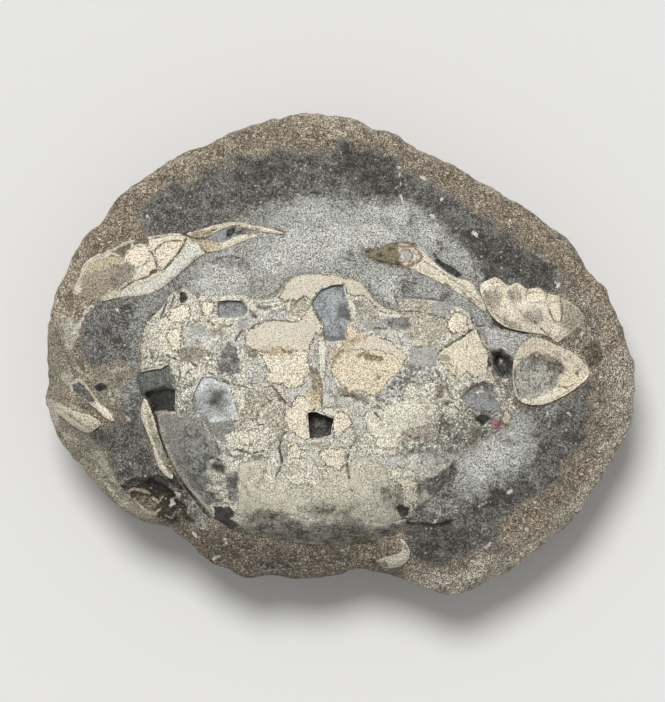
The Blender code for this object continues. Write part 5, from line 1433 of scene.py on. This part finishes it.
def plateMesh(name, outline, holes, cell, coarse):
    # a flat plate at heights 1 and 0, cut out along the outline and the holes
    def edgeField(x, y):
        field = nearField(x, y, outline, 5.0)
        for hole in holes:
            field = np.minimum(field, -nearField(x, y, hole, 5.0))
        return field

    low, high = outline.min(0) - cell, outline.max(0) + cell
    counts = np.ceil((high - low) / cell).astype(int)
    bm = bmesh.new()
    bmesh.ops.create_grid(bm, x_segments=int(counts[0]), y_segments=int(counts[1]), size=1.0)
    grid = np.array([v.co[:] for v in bm.verts])
    grid[:, :2] = low + (grid[:, :2] + 1) / 2 * counts * cell
    bm.faces.ensure_lookup_table()
    corners = np.array([[v.index for v in f.verts] for f in bm.faces])
    middles = grid[corners].mean(1)
    keep = edgeField(middles[:, 0], middles[:, 1]) > 0.12 * cell
    for vert, place in zip(bm.verts, grid):
        vert.co = (place[0], place[1], 1.0)
    bmesh.ops.delete(bm, geom=[f for f, k in zip(bm.faces, keep) if not k], context="FACES")
    rim = [v for v in bm.verts if v.is_boundary]
    snapped = snapToEdge(np.array([v.co[:2] for v in rim]), edgeField)
    for vert, place in zip(rim, snapped):
        vert.co = (place[0], place[1], 1.0)
    made = bmesh.ops.extrude_edge_only(bm, edges=[e for e in bm.edges if e.is_boundary])
    for vert in made["geom"]:
        if isinstance(vert, bmesh.types.BMVert):
            vert.co.z = 0.0
    walls = facesOf(made["geom"])
    lower = [e for e in bm.edges if e.is_boundary]
    filled = bmesh.ops.triangle_fill(bm, use_beauty=True, edges=lower, normal=(0, 0, -1))
    bottom = facesOf(filled["geom"])
    centres = np.array([f.calc_center_median()[:2] for f in bottom])
    spare = [f for f, inside in zip(bottom, edgeField(centres[:, 0], centres[:, 1])) if inside < 0]
    bottom = [f for f in bottom if f not in spare]
    bmesh.ops.delete(bm, geom=spare, context="FACES_ONLY")  # the fill also closes the holes
    for axis in (0, 1):
        normal = (1 - axis, axis, 0)
        for cutAt in np.arange(low[axis] + coarse, high[axis], coarse):
            faces = [f for f in bottom + walls if f.is_valid]
            edges = dict.fromkeys(e for f in faces for e in f.edges)
            geom = [*faces, *edges, *dict.fromkeys(v for f in faces for v in f.verts)]
            place = [cutAt * part for part in normal]
            cut = bmesh.ops.bisect_plane(bm, geom=geom, dist=0.01, plane_co=place, plane_no=normal)
            kept = facesOf(cut["geom"])
            bottom = [f for f in kept if abs(f.normal.z) > 0.5 or max(v.co.z for v in f.verts) < 0.5]
            walls = [f for f in kept if max(v.co.z for v in f.verts) > 0.5]
    return toMesh(bm, name)


shellLook = {
    "colour": (0.88, 0.835, 0.705), "other": (0.67, 0.635, 0.535), "specks": 0.35, "pores": 0.6,
    "grain": 0.8, "glint": 0.4, "crackle": 0.6, "bump": 0.45, "roughness": 0.62,
    "cell": 0.30, "coarse": 6.0,  # fineness of its mesh above and below
    "proud": 0.32, "thickness": 1.8,
    "dentSize": 5.0, "dentHeight": 0.20, "gritSize": 1.6, "gritHeight": 0.09,
    "wornX": 40, "wornY": -29, "wornRadius": 20.0,  # worn level with the stone at the right rear
}


def buildShell():
    look = shellLook
    mesh = plateMesh("carapace", shellEdge, list(windowCurves.values()), look["cell"], look["coarse"])
    co = places(mesh)
    x, y, upper = co[:, 0], co[:, 1], co[:, 2] > 0.5
    found = paintsOn("carapace", x, y)
    inside = nearField(x, y, shellEdge, 8.0)
    base = land(x, y)
    relief = look["dentHeight"] * roughness(x, y, look["dentSize"], 501)
    relief = relief + look["gritHeight"] * roughness(x, y, look["gritSize"], 521, 3, 0.7)
    proud = look["proud"] * (0.75 + 0.5 * waviness(x, y, 6, 541)) * (1 - 0.5 * smoothstep(1, 6, inside))
    away = np.hypot(x - look["wornX"], y - look["wornY"])
    proud = proud * (1 - 0.9 * np.exp(-away**4 / look["wornRadius"]**4))
    top = base + proud + relief + paintLift(found)
    for cx, cy, radius, depth in shellPits:
        away = np.hypot(x - cx, y - cy) * (1 + 0.15 * roughness(x, y, 1.5, 551)) / radius
        top -= depth * np.sqrt(np.clip(1 - away**2, 0, 1)) * smoothstep(1.05, 0.8, away)
    setHeights(mesh, x, y, np.where(upper, top, base + look["proud"] - look["thickness"]))
    addPiece("carapace", mesh, found, look, "carapace")


clawLook = {
    "colour": (0.86, 0.78, 0.622), "other": (0.71, 0.641, 0.503), "specks": 0.15, "pores": 0.6,
    "grain": 0.42, "glint": 0.45, "crackle": 0.3, "bump": 0.4, "roughness": 0.6,
}
legLook = {
    "colour": (0.68, 0.625, 0.50), "other": (0.46, 0.415, 0.33), "specks": 0.2, "pores": 0.4,
    "grain": 0.7, "glint": 0.45, "crackle": 0.1, "bump": 0.4, "roughness": 0.7,
}
# depth in the stone, height above it and crown of the face, all in mm; cell is the mesh's fineness
claw = {"look": clawLook, "slot": "claw_shell", "cell": 0.32}
leg = {"look": legLook, "slot": "leg_shell", "cell": 0.28}
inlayShapes = {
    "left_claw_palm": {**claw, "depth": 6, "proud": 0.45, "crown": 1.5},
    "left_claw_finger": {**claw, "depth": 4, "proud": 0.45, "crown": 0.6, "cell": 0.3},
    "right_claw_palm": {**claw, "depth": 6, "proud": 0.55, "crown": 1.7},
    "right_claw_finger": {**claw, "depth": 5, "proud": 0.45, "crown": 0.9, "cell": 0.3},
    "right_claw_wrist": {**claw, "depth": 6, "proud": 1.1, "crown": -1.6},
    "side_plate": {**claw, "depth": 4, "proud": 0.9, "crown": 0.3, "cell": 0.28, "slot": "back_shell"},
    "leg_fragment_front": {**leg, "depth": 3.5, "proud": 0.8, "crown": 0.5},
    "leg_fragment_rear": {**leg, "depth": 3.5, "proud": 0.7, "crown": 0.7},
    "rear_hook": {**leg, "depth": 3.5, "proud": 0.7, "crown": 0.5},
}
inlay = {
    "crownShare": 0.35,  # the crown is reached this share of the width from the edge
    "dentSize": 4.0, "dentHeight": 0.16, "gritSize": 1.4, "gritHeight": 0.07,
    "undivided": 1000.0,  # wider than any of them, so their undersides are not cut up
}


def buildInlay(name, shape, seed):
    curve = inlayCurves[name]
    halfWidth = inlay["crownShare"] * min(curve.max(0) - curve.min(0))
    floor = float(np.min(stoneHeight(curve[:, 0], curve[:, 1]))) - shape["depth"] + 0.4
    mesh = plateMesh(name, curve, [], shape["cell"], inlay["undivided"])
    co = places(mesh)
    x, y, upper = co[:, 0], co[:, 1], co[:, 2] > 0.5
    found = paintsOn(name, x, y)
    inward = np.clip(nearField(x, y, curve, 12.0) / halfWidth, 0, 1)
    relief = inlay["dentHeight"] * roughness(x, y, inlay["dentSize"], seed)
    relief = relief + inlay["gritHeight"] * roughness(x, y, inlay["gritSize"], seed + 20, 3, 0.7)
    top = land(x, y) + shape["proud"] * (0.8 + 0.3 * waviness(x, y, 5, seed)) + relief + paintLift(found)
    top += shape["crown"] * (1 - (1 - inward) ** 2)
    setHeights(mesh, x, y, np.where(upper, top, floor))
    addPiece(name, mesh, found, shape["look"], name)


buildNodule()
buildShell()
for number, (name, shape) in enumerate(inlayShapes.items()):
    buildInlay(name, shape, 600 + 50 * number)

studio = {
    "floorHalf": 12.0, "floorColour": (0.74, 0.735, 0.72), "floorRoughness": 0.95,
    "sky": (1.0, 1.0, 1.0), "skyStrength": 0.41,
    "sunStrength": 2.37, "sunSpread": 22, "sunTilt": 28, "sunTurn": 16,
    "cameraHeight": 2.0, "planeHeight": 0.030, "sensor": 36.0, "farthest": 20.0,
}


def buildStudio():
    bm = bmesh.new()
    bmesh.ops.create_grid(bm, x_segments=2, y_segments=2, size=studio["floorHalf"])
    mesh = bpy.data.meshes.new("floor")
    bm.to_mesh(mesh)
    bm.free()
    floor = putInScene("floor", mesh)
    finish = bpy.data.materials.new("paleCard")
    finish.use_nodes = True
    card = finish.node_tree.nodes["Principled BSDF"]
    card.inputs["Base Color"].default_value = (*studio["floorColour"], 1)
    card.inputs["Roughness"].default_value = studio["floorRoughness"]
    mesh.materials.append(finish)

    world = bpy.data.worlds.new("softRoom")
    world.use_nodes = True
    sky = world.node_tree.nodes["Background"]
    sky.inputs["Color"].default_value = (*studio["sky"], 1)
    sky.inputs["Strength"].default_value = studio["skyStrength"]
    bpy.context.scene.world = world

    lamp = bpy.data.lights.new("window", "SUN")
    lamp.energy = studio["sunStrength"]
    lamp.angle = math.radians(studio["sunSpread"])
    sun = putInScene("window", lamp)
    sun.rotation_euler = (-math.radians(studio["sunTilt"]), 0, math.radians(studio["sunTurn"]))

    lens = bpy.data.cameras.new("overhead")
    lens.sensor_fit = "VERTICAL"
    lens.sensor_height = studio["sensor"]
    covered = sheet["high"] * sheet["square"] * mm
    lens.lens = studio["sensor"] * (studio["cameraHeight"] - studio["planeHeight"]) / covered
    lens.clip_end = studio["farthest"]
    camera = putInScene("overhead", lens)
    middle = onStone([(sheet["wide"] / 2, sheet["high"] / 2)])[0] * mm
    camera.location = (middle[0], middle[1], studio["cameraHeight"])
    bpy.context.scene.camera = camera
    bpy.context.scene.view_settings.view_transform = "Standard"


buildStudio()
print("studio ready")
